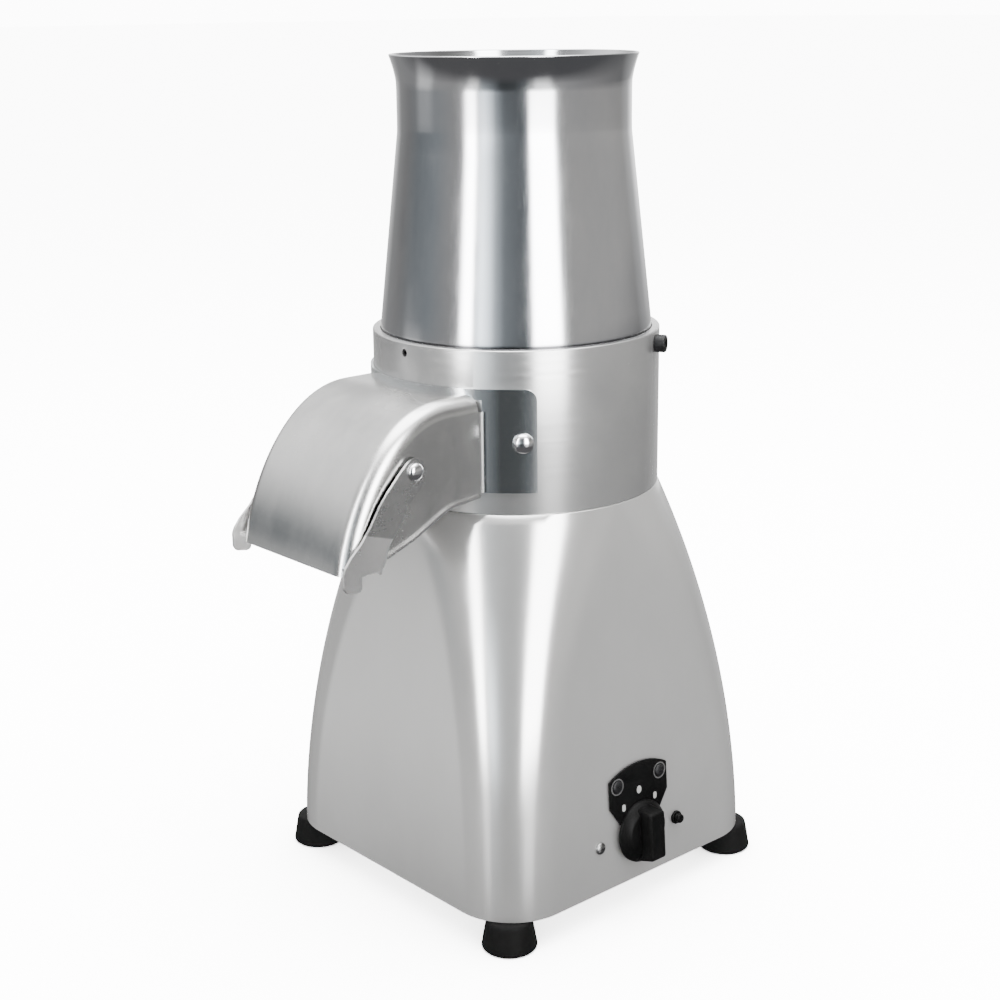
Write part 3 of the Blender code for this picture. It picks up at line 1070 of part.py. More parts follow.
def build_flap_pivots(steel, axis):
    """The two domed pivots: each runs through an arm, a spacer collar and the hood's wall."""
    arm_face = FLAP_INSIDE + FLAP_SHEET + GAP
    inner_end = HOOD_HALF_WIDTH - HOOD_SHEET - 2.5 * MM
    collar = FLAP_INSIDE - GAP
    wide = PIVOT_COLLAR_RADIUS
    for name, side in (("front", -1), ("rear", 1)):
        profile = [(0.0, inner_end), (wide, inner_end), (wide, HOOD_HALF_WIDTH - HOOD_SHEET - GAP),
                   (PIVOT_RADIUS, HOOD_HALF_WIDTH - HOOD_SHEET - GAP), (PIVOT_RADIUS, HOOD_HALF_WIDTH + GAP),
                   (wide, HOOD_HALF_WIDTH + GAP), (wide, collar), (PIVOT_RADIUS, collar),
                   (PIVOT_RADIUS, arm_face), (PIVOT_DOME_RADIUS, arm_face)]
        for i in range(1, 3):
            angle = math.radians(30 * i)
            profile.append((PIVOT_DOME_RADIUS * math.cos(angle), arm_face + 3.6 * MM * math.sin(angle)))
        profile.append((0.0, arm_face + 3.6 * MM))
        turn = Matrix.Rotation(math.radians(90 if side < 0 else -90), 4, "X")
        shift = Matrix.Translation((FLAP_PIVOT[0], 0.0, FLAP_PIVOT[1]))
        finish("flap_pivot_" + name, moved(turned(profile, 10), shift @ turn), steel, axis)


def panel_up(height):
    """Distance up the panel's plane from its middle, for a height above the floor."""
    return (height - PANEL_HEIGHT) / math.cos(flank_slope(PANEL_HEIGHT))


def panel_empty(name, height, across, side, parent):
    """A frame that lies on the stand's flank: local -Y points out of the sheet, local Z up it."""
    empty = bpy.data.objects.new(name, None)
    bpy.context.scene.collection.objects.link(empty)
    empty.parent = parent
    empty.location = (across, side * flank(height), height)
    empty.rotation_euler = Euler((-flank_slope(height), 0.0, 0.0 if side < 0 else math.pi), "XYZ")
    return empty


def switch_plate_outline():
    """The legend plate: a crowned top, straight sides, and slants down to a round foot."""
    rise = PLATE_CROWN - PLATE_SHOULDER
    crown_radius = (PLATE_HALF_WIDTH ** 2 + rise ** 2) / (2 * rise)
    spread = math.degrees(math.asin(PLATE_HALF_WIDTH / crown_radius))
    points = arc((0.0, PLATE_CROWN - crown_radius), crown_radius, 90 - spread, 90 + spread, 8)
    points.append((-PLATE_HALF_WIDTH, PLATE_WAIST))
    points += arc((0.0, 0.0), PLATE_FOOT_RADIUS, 155, 385, 14)
    points.append((PLATE_HALF_WIDTH, PLATE_WAIST))
    return points


def build_switch(plastic, steel, black, panel):
    """The rotary switch: legend plate, body behind the panel, its two screws, spindle and knob."""
    up = panel_up(KNOB_HEIGHT)
    shift = Matrix.Translation((KNOB_ACROSS, 0.0, up))
    front = -GAP - PLATE_THICKNESS
    plate = extruded(switch_plate_outline(), front, -GAP, "y")
    switch_plate = finish("switch_plate", moved(plate, shift), plastic, panel)
    holes = [along_front(rod(SWITCH_BUSH_RADIUS + GAP, -5 * MM, 5 * MM), KNOB_ACROSS, up)]
    for side in (-1, 1):
        holes.append(along_front(rod(PLATE_SCREW_RADIUS + GAP, -5 * MM, 5 * MM, segments=10),
                                 KNOB_ACROSS + side * PLATE_SCREW_ACROSS, up + PLATE_SCREW_UP))
    cut(switch_plate, merged(holes), "holes")
    inner = STAND_SHEET + 2 * GAP
    half = SWITCH_BODY / 2
    case = box((KNOB_ACROSS - half, inner + 3 * MM - TINY, up - half), (KNOB_ACROSS + half, SWITCH_DEPTH, up + half))
    body = finish("switch_body", case, plastic, panel)
    reach = PLATE_SCREW_ACROSS + 4.5 * MM
    flange = box((KNOB_ACROSS - reach, inner, up - half / 2),
                 (KNOB_ACROSS + reach, inner + 4 * MM, up + PLATE_SCREW_UP + 6 * MM))
    join(body, flange, "flange")
    join(body, along_front(rod(SWITCH_BUSH_RADIUS, -inner - MM, -front), KNOB_ACROSS, up), "bush")
    bore = along_front(rod(SPINDLE_ROD_RADIUS + GAP, -inner - 14 * MM, 10 * MM), KNOB_ACROSS, up)
    cut(body, bore, "spindle_bore")
    drills = [along_front(rod(PLATE_SCREW_RADIUS + GAP, -12 * MM, 5 * MM, segments=10),
                          KNOB_ACROSS + side * PLATE_SCREW_ACROSS, up + PLATE_SCREW_UP) for side in (-1, 1)]
    cut(body, merged(drills), "screw_holes")
    for name, side in (("left", -1), ("right", 1)):
        screw = domed_screw(PLATE_SCREW_RADIUS, 12 * MM, PLATE_SCREW_HEAD, 1.6 * MM)
        seat = Matrix.Translation((0, front - GAP, 0))
        piece = along_front(screw, KNOB_ACROSS + side * PLATE_SCREW_ACROSS, up + PLATE_SCREW_UP)
        finish("switch_screw_" + name, moved(piece, seat), black, panel)
    build_knob(plastic, steel, panel, up, front - GAP)


def build_knob(plastic, steel, panel, up, seat):
    """The knob: a round skirt with an upright grip, on the switch's spindle."""
    turning = bpy.data.objects.new("knob_axis", None)
    bpy.context.scene.collection.objects.link(turning)
    turning.parent = panel
    turning.location = (KNOB_ACROSS, 0.0, up)
    bore = SPINDLE_ROD_RADIUS + GAP
    deep = -seat + KNOB_SKIRT * 0.8
    profile = ((0.0, -seat), (KNOB_RADIUS, -seat), (KNOB_RADIUS, -seat + KNOB_BAND),
               (KNOB_TOP_RADIUS, -seat + KNOB_SKIRT), (0.0, -seat + KNOB_SKIRT))
    knob = finish("switch_knob", along_front(turned(profile, 28), 0.0, 0.0), plastic, turning)
    half = KNOB_GRIP_WIDTH / 2
    root = seat - KNOB_BAND * 0.9
    face = seat - KNOB_REACH
    outline = ((-KNOB_GRIP_DOWN - 4 * MM, root), (-KNOB_GRIP_DOWN, face), (KNOB_GRIP_UP, face),
               (KNOB_GRIP_UP + 2 * MM, root))
    grip = extruded([(y, z) for z, y in outline], -half, half, "x")
    bmesh.ops.recalc_face_normals(grip, faces=grip.faces)
    edges = [e for e in grip.edges if all(v.co.y < root - MM for v in e.verts)]
    bmesh.ops.bevel(grip, geom=edges, offset=KNOB_BEVEL, segments=2, profile=0.5, affect="EDGES")
    join(knob, grip, "grip")
    cut(knob, along_front(rod(bore, -seat - MM, deep), 0.0, 0.0), "spindle_bore")
    length = deep - GAP
    shank = rod(SPINDLE_ROD_RADIUS, -(STAND_SHEET + 2 * GAP + 13 * MM), length)
    finish("switch_spindle", along_front(shank, 0.0, 0.0), steel, turning)


def build_reset(plastic, panel):
    """The overload breaker behind the panel, and the button that resets it."""
    up = panel_up(RESET_HEIGHT)
    bore = RESET_BUTTON_RADIUS + GAP
    neck = RESET_BEZEL_RADIUS - MM
    inner = -STAND_SHEET - 2 * GAP
    profile = ((bore, 2 * MM), (RESET_BEZEL_RADIUS - 0.6 * MM, 2 * MM), (RESET_BEZEL_RADIUS, 1.4 * MM),
               (RESET_BEZEL_RADIUS, GAP), (neck, GAP), (neck, inner), (neck + 5 * MM, inner),
               (neck + 5 * MM, -26 * MM), (bore, -26 * MM))
    finish("overload_breaker", along_front(turned(profile, 12), RESET_ACROSS, up), plastic, panel)
    button = bpy.data.objects.new("reset_axis", None)
    bpy.context.scene.collection.objects.link(button)
    button.parent = panel
    button.location = (RESET_ACROSS, 0.0, up)
    profile = ((0.0, -15 * MM), (RESET_BUTTON_RADIUS, -15 * MM), (RESET_BUTTON_RADIUS, RESET_REACH - MM),
               (RESET_BUTTON_RADIUS - MM, RESET_REACH), (0.0, RESET_REACH))
    finish("reset_button", along_front(turned(profile, 14), 0.0, 0.0), plastic, button)


def build_capacitor(metal, steel, axis, panel):
    """The run capacitor on the shell's return flange, and the clip that holds it to the front wall."""
    wall = flank(CLIP_SCREW_HEIGHT)
    screw_up = CLIP_SCREW_HEIGHT
    ring = CAPACITOR_RADIUS + GAP
    half = CLIP_WIDTH / 2
    inner_face = wall - STAND_SHEET - 0.9 * MM
    centre = (CAPACITOR_ACROSS, -inner_face + CLIP_SHEET + ring)
    low = STAND_LOW + BASE_PLATE_THICKNESS + GAP + STAND_SHEET + GAP
    high = low + CAPACITOR_HEIGHT
    lid = 2 * MM
    profile = ((0.0, low), (CAPACITOR_RADIUS - MM, low), (CAPACITOR_RADIUS, low + MM),
               (CAPACITOR_RADIUS, high - lid), (CAPACITOR_RADIUS - lid, high), (0.0, high))
    shift = Matrix.Translation((centre[0], centre[1], 0.0))
    finish("run_capacitor", moved(turned(profile, 24), shift), metal, axis)
    outer = arc(centre, ring + CLIP_SHEET, 0, 345, 23)
    inner = arc(centre, ring, 0, 345, 23)
    clip = finish("capacitor_clip", tube_between(outer, inner, screw_up - half, screw_up + half), steel, axis)
    tab = box((CAPACITOR_ACROSS, -inner_face, screw_up - half),
              (CLIP_SCREW_ACROSS + half, -inner_face + CLIP_SHEET - TINY, screw_up + half))
    join(clip, tab, "tab")
    drill = along_front(rod(CLIP_SCREW_RADIUS + GAP, -12 * MM, 5 * MM, segments=10), CLIP_SCREW_ACROSS,
                        panel_up(screw_up))
    cut(clip, moved(drill, panel.matrix_basis), "screw_hole")


def build_clip_screw(steel, panel):
    """The small screw in the front panel that holds the capacitor's clip."""
    screw = domed_screw(CLIP_SCREW_RADIUS, 10 * MM, CLIP_SCREW_HEAD, 2.2 * MM)
    piece = along_front(screw, CLIP_SCREW_ACROSS, panel_up(CLIP_SCREW_HEIGHT))
    finish("capacitor_clip_screw", moved(piece, Matrix.Translation((0, -GAP, 0))), steel, panel)


def build_gland(plastic, back):
    """The cable gland in the rear wall with its lock nut; no cable is fitted."""
    bore = 4.5 * MM
    neck = GLAND_REACH * 0.45
    profile = [(bore, -14 * MM), (GLAND_THREAD_RADIUS, -14 * MM), (GLAND_THREAD_RADIUS, GAP + MM),
               (GLAND_RADIUS * 0.95, GAP + MM), (GLAND_RADIUS * 0.95, neck), (GLAND_RADIUS * 0.85, neck + MM),
               (GLAND_RADIUS * 0.85, GLAND_REACH * 0.75), (GLAND_RADIUS * 0.6, GLAND_REACH), (bore, GLAND_REACH)]
    gland = finish("cable_gland", along_front(turned(profile, 12), 0.0, 0.0), plastic, back)
    collar = extruded(hexagon(GLAND_RADIUS), GAP, neck - MM)
    join(gland, along_front(collar, 0.0, 0.0), "hexagon")
    cut(gland, along_front(rod(bore, -20 * MM, 20 * MM, segments=10), 0.0, 0.0), "cable_way")
    inner = STAND_SHEET + 2 * GAP
    nut = finish("gland_nut", along_front(extruded(hexagon(GLAND_RADIUS), -inner - 5 * MM, -inner), 0.0, 0.0),
                 plastic, back)
    cut(nut, along_front(rod(GLAND_THREAD_RADIUS + GAP, -20 * MM, 5 * MM), 0.0, 0.0), "thread")


def machine_empty():
    """Carries every piece, so that the middle of the whole footprint lies on the origin."""
    lean = flank_slope(PANEL_HEIGHT)
    knob_front = GAP + PLATE_THICKNESS + GAP + KNOB_REACH
    lowest = panel_up(KNOB_HEIGHT) - KNOB_GRIP_DOWN + KNOB_BEVEL
    front = flank(PANEL_HEIGHT) + knob_front * math.cos(lean) - lowest * math.sin(lean)
    rear_lean = flank_slope(GLAND_HEIGHT)
    rear = flank(GLAND_HEIGHT) + GLAND_REACH * math.cos(rear_lean) + GLAND_RADIUS * 0.6 * math.sin(rear_lean)
    empty = bpy.data.objects.new("machine_axis", None)
    bpy.context.scene.collection.objects.link(empty)
    empty.location = ((-HOOD_FRONT - STAND_HALF_WIDTH) / 2, (front - rear) / 2, 0.0)
    return empty


def main():
    start_empty_scene()
    brushed = material("brushed_steel", (0.55, 0.56, 0.57), 0.35, 1.0)
    cast = material("satin_aluminium", (0.62, 0.63, 0.64), 0.4, 1.0)
    polished = material("polished_steel", (0.75, 0.75, 0.76), 0.15, 1.0)
    black_steel = material("black_oxide", (0.03, 0.03, 0.03), 0.5, 1.0)
    rubber = material("black_rubber", (0.01, 0.01, 0.01), 0.7, 0.0)
    plastic = material("black_plastic", (0.015, 0.015, 0.015), 0.45, 0.0)
    painted = material("motor_grey", (0.2, 0.22, 0.24), 0.5, 0.0)
    copper = material("winding_copper", (0.55, 0.25, 0.1), 0.45, 1.0)
    core_steel = material("lamination_steel", (0.25, 0.25, 0.26), 0.55, 1.0)

    axis = machine_empty()
    panel = panel_empty("front_panel", PANEL_HEIGHT, 0.0, -1, axis)
    back = panel_empty("rear_panel", GLAND_HEIGHT, GLAND_ACROSS, 1, axis)
    pivot = bpy.data.objects.new("flap_axis", None)
    bpy.context.scene.collection.objects.link(pivot)
    pivot.parent = axis
    pivot.location = (FLAP_PIVOT[0], 0.0, FLAP_PIVOT[1])

    build_stand(brushed, axis, panel, back)
    build_base_plate(brushed, axis)
    build_feet(rubber, polished, axis)
    build_chamber(cast, axis)
    build_chamber_screws(black_steel, polished, axis)
    build_hopper(brushed, axis)
    build_shaft(polished, axis)
    build_motor_case(painted, axis)
    build_motor_bolts(black_steel, axis)
    build_bearings(polished, rubber, axis)
    build_windings(core_steel, copper, axis)
    build_fan(plastic, painted, axis)
    build_ejector(cast, axis)
    build_disc(polished, axis)
    build_disc_nut(polished, axis)
    build_hood(brushed, axis)
    build_flap(brushed, pivot)
    build_flap_pivots(polished, axis)
    build_switch(plastic, polished, black_steel, panel)
    build_reset(plastic, panel)
    build_capacitor(cast, polished, axis, panel)
    build_clip_screw(polished, panel)
    build_gland(plastic, back)


main()
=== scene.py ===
"""Looks of the electric grater: finer shapes, finishes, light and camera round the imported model."""
import math

import bmesh
import bpy
from mathutils import Euler, Matrix, Vector


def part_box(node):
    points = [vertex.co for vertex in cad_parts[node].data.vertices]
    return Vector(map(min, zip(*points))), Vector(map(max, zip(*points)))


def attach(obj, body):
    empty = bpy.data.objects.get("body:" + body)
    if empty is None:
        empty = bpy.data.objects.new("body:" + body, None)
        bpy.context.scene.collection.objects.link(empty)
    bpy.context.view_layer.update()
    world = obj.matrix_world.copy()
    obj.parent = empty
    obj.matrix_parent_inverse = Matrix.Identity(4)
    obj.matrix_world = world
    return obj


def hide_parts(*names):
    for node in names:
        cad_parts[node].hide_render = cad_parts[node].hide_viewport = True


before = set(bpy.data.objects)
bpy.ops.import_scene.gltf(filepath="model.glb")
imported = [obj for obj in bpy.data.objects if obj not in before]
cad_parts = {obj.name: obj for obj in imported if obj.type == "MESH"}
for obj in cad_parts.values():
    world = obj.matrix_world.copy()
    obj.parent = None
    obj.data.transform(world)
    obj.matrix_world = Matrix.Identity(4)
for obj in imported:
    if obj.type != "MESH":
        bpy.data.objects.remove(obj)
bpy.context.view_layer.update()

MM = 0.001
TINY = 0.00001
GAP = 0.3 * MM


def middle(node):
    low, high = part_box(node)
    return [(low[i] + high[i]) / 2 for i in range(3)]


AXIS = Vector((middle("hopper")[0], middle("hopper")[1], 0.0))

# Sizes, in the machine's own frame
STAND_LOW = 22.3 * MM
STAND_TOP = 301.5 * MM
CHAMBER_LOW = 301.8 * MM
CHAMBER_TOP = 417.2 * MM
CHAMBER_RADIUS = 104.9 * MM
CHAMBER_BORE = 95.0 * MM
HOPPER_RADIUS = 98.9 * MM
FLOOR_TOP = 313.8 * MM
BOSS_TOP = 330.0 * MM
LEDGE = 397.0 * MM
STAND_HALF = 134.5 * MM
STAND_CORNER = 48.0 * MM
SHEET = 2.0 * MM
HOOD_FRONT = -209.0 * MM
HOOD_TOP = 387.0 * MM
HOOD_MOUTH = 282.6 * MM
HOOD_HALF = 61.5 * MM
EAR_RADIUS = 105.2 * MM
EAR_TOP = 390.9 * MM
EAR_BOTTOM = 318.1 * MM
PIVOT = (-150.2 * MM, 345.3 * MM)
FOOT_PLACES = [(x * 114 * MM, y * 114 * MM) for y in (-1, 1) for x in (-1, 1)]
FOOT_SCREW_HOLE = 3.3 * MM
BOLT_CIRCLE = 85 * MM
BOLT_ANGLES = (45, 135, 225, 315)
BOLT_HOLE = 4.6 * MM

# Screws that stand out of the chamber ring: angle from the hood's middle or from +X, height and hole radius
EAR_SCREW_ANGLE = 50.2
EAR_SCREW_HEIGHT = 353.2 * MM
CLAMP_SCREW_ANGLE = 60
CLAMP_SCREW_HEIGHT = 408.0 * MM
STOP_SCREW_HEIGHT = 410.0 * MM
CLEAR_HOLE = 4.3 * MM
STOP_HOLE = 2.8 * MM
PIVOT_HOLE = 3.3 * MM

# Places on the front panel: across from the machine's middle and above the floor
PANEL_HEIGHT = 80.0 * MM
KNOB_ACROSS = -3.0 * MM
KNOB_HEIGHT = 59.8 * MM
RESET = (36.0 * MM, 56.8 * MM)
CLIP_SCREW = (-43.0 * MM, 58.2 * MM)
PLATE_THICKNESS = 1.5 * MM
PLATE_SCREW_ACROSS = 21.8 * MM
PLATE_SCREW_UP = 40.1 * MM
SPINDLE_HOLE = 8.3 * MM
SMALL_HOLE = 2.3 * MM


# Finishes

def surface(name, metallic=0.0):
    made = bpy.data.materials.new(name)
    made.use_nodes = True
    shader = made.node_tree.nodes["Principled BSDF"]
    shader.inputs["Metallic"].default_value = metallic
    return made, made.node_tree, shader


def coat(tree, shader, colour, rough):
    tree.links.new(colour, shader.inputs["Base Color"])
    tree.links.new(rough, shader.inputs["Roughness"])


def place_on_piece(tree, **settings):
    """The place on a piece in its own coordinates, after a mapping."""
    coords = tree.nodes.new("ShaderNodeTexCoord")
    mapping = tree.nodes.new("ShaderNodeMapping")
    for name, value in settings.items():
        mapping.inputs[name].default_value = value
    tree.links.new(coords.outputs["Object"], mapping.inputs["Vector"])
    return mapping.outputs["Vector"]


def noise(tree, scale, stretch, detail, roughness=0.55):
    """A cloud or a grain, drawn out where the stretch is small."""
    made = tree.nodes.new("ShaderNodeTexNoise")
    for name, value in (("Scale", scale), ("Detail", detail), ("Roughness", roughness)):
        made.inputs[name].default_value = value
    tree.links.new(place_on_piece(tree, Scale=stretch), made.inputs["Vector"])
    return made.outputs["Fac"]


def spread(tree, value, low, high, start=0.3, end=0.7):
    """A number that runs from low to high as the noise runs from start to end."""
    ranged = tree.nodes.new("ShaderNodeMapRange")
    for name, limit in (("From Min", start), ("From Max", end), ("To Min", low), ("To Max", high)):
        ranged.inputs[name].default_value = limit
    tree.links.new(value, ranged.inputs["Value"])
    return ranged.outputs["Result"]


def tint(tree, value, dark, light, start=0.3, end=0.7):
    """A colour that runs from dark to light as the noise runs from start to end."""
    ramp = tree.nodes.new("ShaderNodeValToRGB")
    for stop, position, colour in zip(ramp.color_ramp.elements, (start, end), (dark, light)):
        stop.position = position
        stop.color = (*colour, 1.0)
    tree.links.new(value, ramp.inputs["Fac"])
    return ramp.outputs["Color"]


def blend(tree, share, first, second):
    """A colour that runs from the first to the second; each is a socket or three numbers."""
    mix = tree.nodes.new("ShaderNodeMix")
    mix.data_type = "RGBA"
    mix.clamp_result = False
    tree.links.new(share, mix.inputs[0])
    for socket, value in ((mix.inputs[6], first), (mix.inputs[7], second)):
        if isinstance(value, tuple):
            socket.default_value = (*value, 1.0)
        else:
            tree.links.new(value, socket)
    return mix.outputs[2]


def both(tree, a, b, operation="ADD"):
    """Two numbers put together by one operation."""
    made = tree.nodes.new("ShaderNodeMath")
    made.operation = operation
    tree.links.new(a, made.inputs[0])
    tree.links.new(b, made.inputs[1])
    return made.outputs["Value"]


def bump(tree, shader, height, strength, distance):
    made = tree.nodes.new("ShaderNodeBump")
    made.inputs["Strength"].default_value = strength
    made.inputs["Distance"].default_value = distance
    tree.links.new(height, made.inputs["Height"])
    tree.links.new(made.outputs["Normal"], shader.inputs["Normal"])


def near_axis(tree, radius):
    """1 within a radius of the machine's axis, 0 outside it."""
    length = tree.nodes.new("ShaderNodeVectorMath")
    length.operation = "LENGTH"
    centred = place_on_piece(tree, Location=(-AXIS.x, -AXIS.y, 0.0), Scale=(1, 1, 0))
    tree.links.new(centred, length.inputs[0])
    return spread(tree, length.outputs["Value"], 1.0, 0.0, radius - 0.2 * MM, radius + 0.2 * MM)


def below_line(tree, point, slope, soft):
    """1 under a line that runs through a point (x, z) of the machine with a slope in degrees, 0 above it."""
    coords = tree.nodes.new("ShaderNodeTexCoord")
    dot = tree.nodes.new("ShaderNodeVectorMath")
    dot.operation = "DOT_PRODUCT"
    across, up = -math.sin(math.radians(slope)), math.cos(math.radians(slope))
    dot.inputs[1].default_value = (across, 0.0, up)
    tree.links.new(coords.outputs["Object"], dot.inputs[0])
    level = (point[0] + AXIS.x) * across + point[1] * up
    return spread(tree, dot.outputs["Value"], 1.0, 0.0, level - soft, level + soft)


def at_height(tree, level, half, soft):
    """1 within a thin level band, 0 above and below it."""
    coords = tree.nodes.new("ShaderNodeTexCoord")
    split = tree.nodes.new("ShaderNodeSeparateXYZ")
    tree.links.new(coords.outputs["Object"], split.inputs["Vector"])
    above = spread(tree, split.outputs["Z"], 0.0, 1.0, level - half - soft, level - half + soft)
    under = spread(tree, split.outputs["Z"], 1.0, 0.0, level + half - soft, level + half + soft)
    return both(tree, above, under, "MULTIPLY")


def sheet_steel(name, dark, light, rough_low, rough_high, grain, relief, cloud, metallic,
                zone=None, zone_tint=(1.0, 1.0, 1.0), zone_rough=1.0):
    """Brushed sheet: fine drawn lines and soft clouding, with one zone that may differ in tone and gloss."""
    made, tree, shader = surface(name, metallic)
    lines = noise(tree, 420.0, grain, 6.0, 0.65)
    clouds = noise(tree, cloud, (1, 1, 0.6), 5.0, 0.6)
    colour = tint(tree, clouds, dark, light, 0.32, 0.68)
    rough = both(tree, spread(tree, lines, -0.015, 0.015), spread(tree, clouds, rough_low, rough_high))
    if zone:
        share = zone(tree)
        colour = blend(tree, share, colour, zone_tint)
        rough = both(tree, rough, spread(tree, share, 1.0, zone_rough, 0.0, 1.0), "MULTIPLY")
    coat(tree, shader, colour, rough)
    if relief:
        bump(tree, shader, lines, relief, 0.00006)
    return made


def cast_metal(name, dark, light, rough_low, rough_high, relief, metallic=1.0):
    """Turned and cast metal: fine rings round the axis over a soft grain."""
    made, tree, shader = surface(name, metallic)
    rings = noise(tree, 300.0, (0.004, 0.004, 1.0), 5.0, 0.6)
    clouds = noise(tree, 14.0, (1, 1, 1), 5.0, 0.6)
    rough = both(tree, spread(tree, rings, -0.04, 0.05), spread(tree, clouds, rough_low, rough_high))
    coat(tree, shader, tint(tree, clouds, dark, light), rough)
    bump(tree, shader, rings, relief, 0.00003)
    return made


def grained_metal(name, metallic, grain, dark, light, rough_low, rough_high, relief, depth):
    """Metal with one grain for tone, gloss and relief: wipe marks, turns of wire or stacked sheets."""
    made, tree, shader = surface(name, metallic)
    lines = noise(tree, *grain)
    coat(tree, shader, tint(tree, lines, dark, light), spread(tree, lines, rough_low, rough_high))
    bump(tree, shader, lines, relief, depth)
    return made


def moulded(name, dark, light, rough_low, rough_high, scale, relief, depth, specular=0.5):
    """Moulded rubber, plastic or paint: a fine even texture with slight rubbed places."""
    made, tree, shader = surface(name)
    shader.inputs["Specular IOR Level"].default_value = specular
    texture = noise(tree, scale, (1, 1, 1), 3.0, 0.6)
    rubbed = noise(tree, 35.0, (1, 1, 1), 4.0, 0.6)
    rough = both(tree, spread(tree, texture, -0.04, 0.04), spread(tree, rubbed, rough_low, rough_high))
    coat(tree, shader, tint(tree, rubbed, dark, light), rough)
    bump(tree, shader, texture, relief, depth)
    return made


# Painted shade: a thin, nearly black band round the hopper just above the ring's top, where the seam between
# them lies in shade.
def painted_seat_shade(tree):
    return at_height(tree, CHAMBER_TOP + 0.4 * MM, 0.9 * MM, 0.4 * MM)


def ear_zone(tree):
    return near_axis(tree, EAR_RADIUS + SHEET + 0.3 * MM)


# Painted light: below its bend line the arm is coloured much lighter, standing in for the bent tip catching
# more light, and is made slightly rougher.
def painted_light_arm_tip(tree):
    return below_line(tree, (-179.2 * MM, 305.8 * MM), -17.3, 0.5 * MM)


# The hopper's steel is painted nearly black, and made rougher, in the seat band as painted shade.
HOPPER_STEEL = sheet_steel("hopper_steel", (0.54, 0.55, 0.57), (0.64, 0.64, 0.65), 0.08, 0.15, (1, 1, 0.03),
                           0.05, 16.0, 1.0, painted_seat_shade, (0.08, 0.08, 0.085), 1.5)
STAND_STEEL = sheet_steel("stand_steel", (0.78, 0.775, 0.765), (0.86, 0.855, 0.845), 0.13, 0.2, (1, 1, 0.04),
                          0.015, 9.0, 0.5)
HOOD_STEEL = sheet_steel("hood_steel", (0.56, 0.56, 0.555), (0.68, 0.675, 0.665), 0.19, 0.3, (1, 0.05, 1),
                         0.0, 22.0, 0.94, ear_zone, (0.6, 0.62, 0.63), 0.5)
# The arm's steel is painted much lighter below its bend line as painted light.
ARM_STEEL = sheet_steel("arm_steel", (0.46, 0.46, 0.46), (0.54, 0.54, 0.535), 0.22, 0.32, (0.06, 1, 1),
                        0.0, 30.0, 0.9, painted_light_arm_tip, (0.95, 0.94, 0.93), 1.2)
RING_METAL = cast_metal("ring_metal", (0.56, 0.56, 0.56), (0.64, 0.64, 0.63), 0.17, 0.24, 0.08, 0.66)
CAST_METAL = cast_metal("cast_metal", (0.52, 0.53, 0.54), (0.62, 0.625, 0.63), 0.32, 0.45, 0.3)
POLISHED = grained_metal("polished_metal", 1.0, (160.0, (1, 1, 0.25), 5.0, 0.6), (0.72, 0.72, 0.73),
                         (0.8, 0.8, 0.81), 0.08, 0.16, 0.05, 0.00005)
COPPER = grained_metal("wound_copper", 0.85, (500.0, (0.06, 0.06, 1.0), 3.0, 0.6), (0.28, 0.09, 0.03),
                       (0.62, 0.26, 0.1), 0.25, 0.45, 0.6, 0.0004)
CORE = grained_metal("core_sheets", 0.9, (900.0, (0.01, 0.01, 1.0), 2.0, 0.5), (0.1, 0.1, 0.11),
                     (0.32, 0.32, 0.33), 0.35, 0.6, 0.5, 0.0002)
DULL_METAL = cast_metal("dull_metal", (0.2, 0.2, 0.2), (0.28, 0.28, 0.28), 0.3, 0.42, 0.1)
BLACK_METAL = moulded("black_metal", (0.008, 0.008, 0.009), (0.02, 0.02, 0.021), 0.36, 0.5,
                      700.0, 0.15, 0.0001, 0.2)
RUBBER = moulded("foot_rubber", (0.004, 0.004, 0.004), (0.009, 0.009, 0.009), 0.6, 0.78,
                 500.0, 0.3, 0.0002, 0.08)
PLASTIC = moulded("moulded_plastic", (0.003, 0.003, 0.003), (0.007, 0.007, 0.007), 0.38, 0.52,
                  900.0, 0.2, 0.00012, 0.06)
PAINT = moulded("motor_paint", (0.14, 0.155, 0.17), (0.2, 0.215, 0.23), 0.4, 0.55, 260.0, 0.3, 0.0002)
WORN_RIM = moulded("worn_rim", (0.05, 0.05, 0.05), (0.2, 0.2, 0.2), 0.35, 0.5, 700.0, 0.15, 0.0001, 0.4)
LEGEND = moulded("legend_paint", (0.62, 0.62, 0.6), (0.78, 0.78, 0.76), 0.45, 0.6, 900.0, 0.1, 0.00005)

SLOT_FINISH = {"brushed_steel": STAND_STEEL, "satin_aluminium": CAST_METAL, "polished_steel": POLISHED,
               "black_oxide": BLACK_METAL, "black_rubber": RUBBER, "black_plastic": PLASTIC,
               "motor_grey": PAINT, "winding_copper": COPPER, "lamination_steel": CORE}


# Mesh helpers

def add(name, data):
    made = bpy.data.objects.new(name, data)
    bpy.context.scene.collection.objects.link(made)
    return made


def cut(*parts):
    return [("DIFFERENCE", part) for part in parts]


def in_mm(points):
    return [(a * MM, b * MM) for a, b in points]


def on_circle(centre, radius, degrees):
    """Points of a circle at the listed angles."""
    angles = [math.radians(angle) for angle in degrees]
    return [(centre[0] + radius * math.cos(angle), centre[1] + radius * math.sin(angle)) for angle in angles]


def arc(centre, radius, start, end, steps):
    return on_circle(centre, radius, [start + (end - start) * i / steps for i in range(steps + 1)])


def turned(profile, segments):
    """A solid of revolution about Z from a closed outline of (radius, height)."""
    work = bmesh.new()
    corners = [work.verts.new((radius, 0.0, height)) for radius, height in profile]
    edges = [work.edges.new((corners[i], corners[(i + 1) % len(corners)])) for i in range(len(corners))
             if profile[i][0] > TINY or profile[(i + 1) % len(corners)][0] > TINY]
    bmesh.ops.spin(work, geom=corners + edges, cent=(0, 0, 0), axis=(0, 0, 1), angle=2 * math.pi,
                   steps=segments, use_merge=True)
    bmesh.ops.remove_doubles(work, verts=work.verts, dist=TINY)
    return work


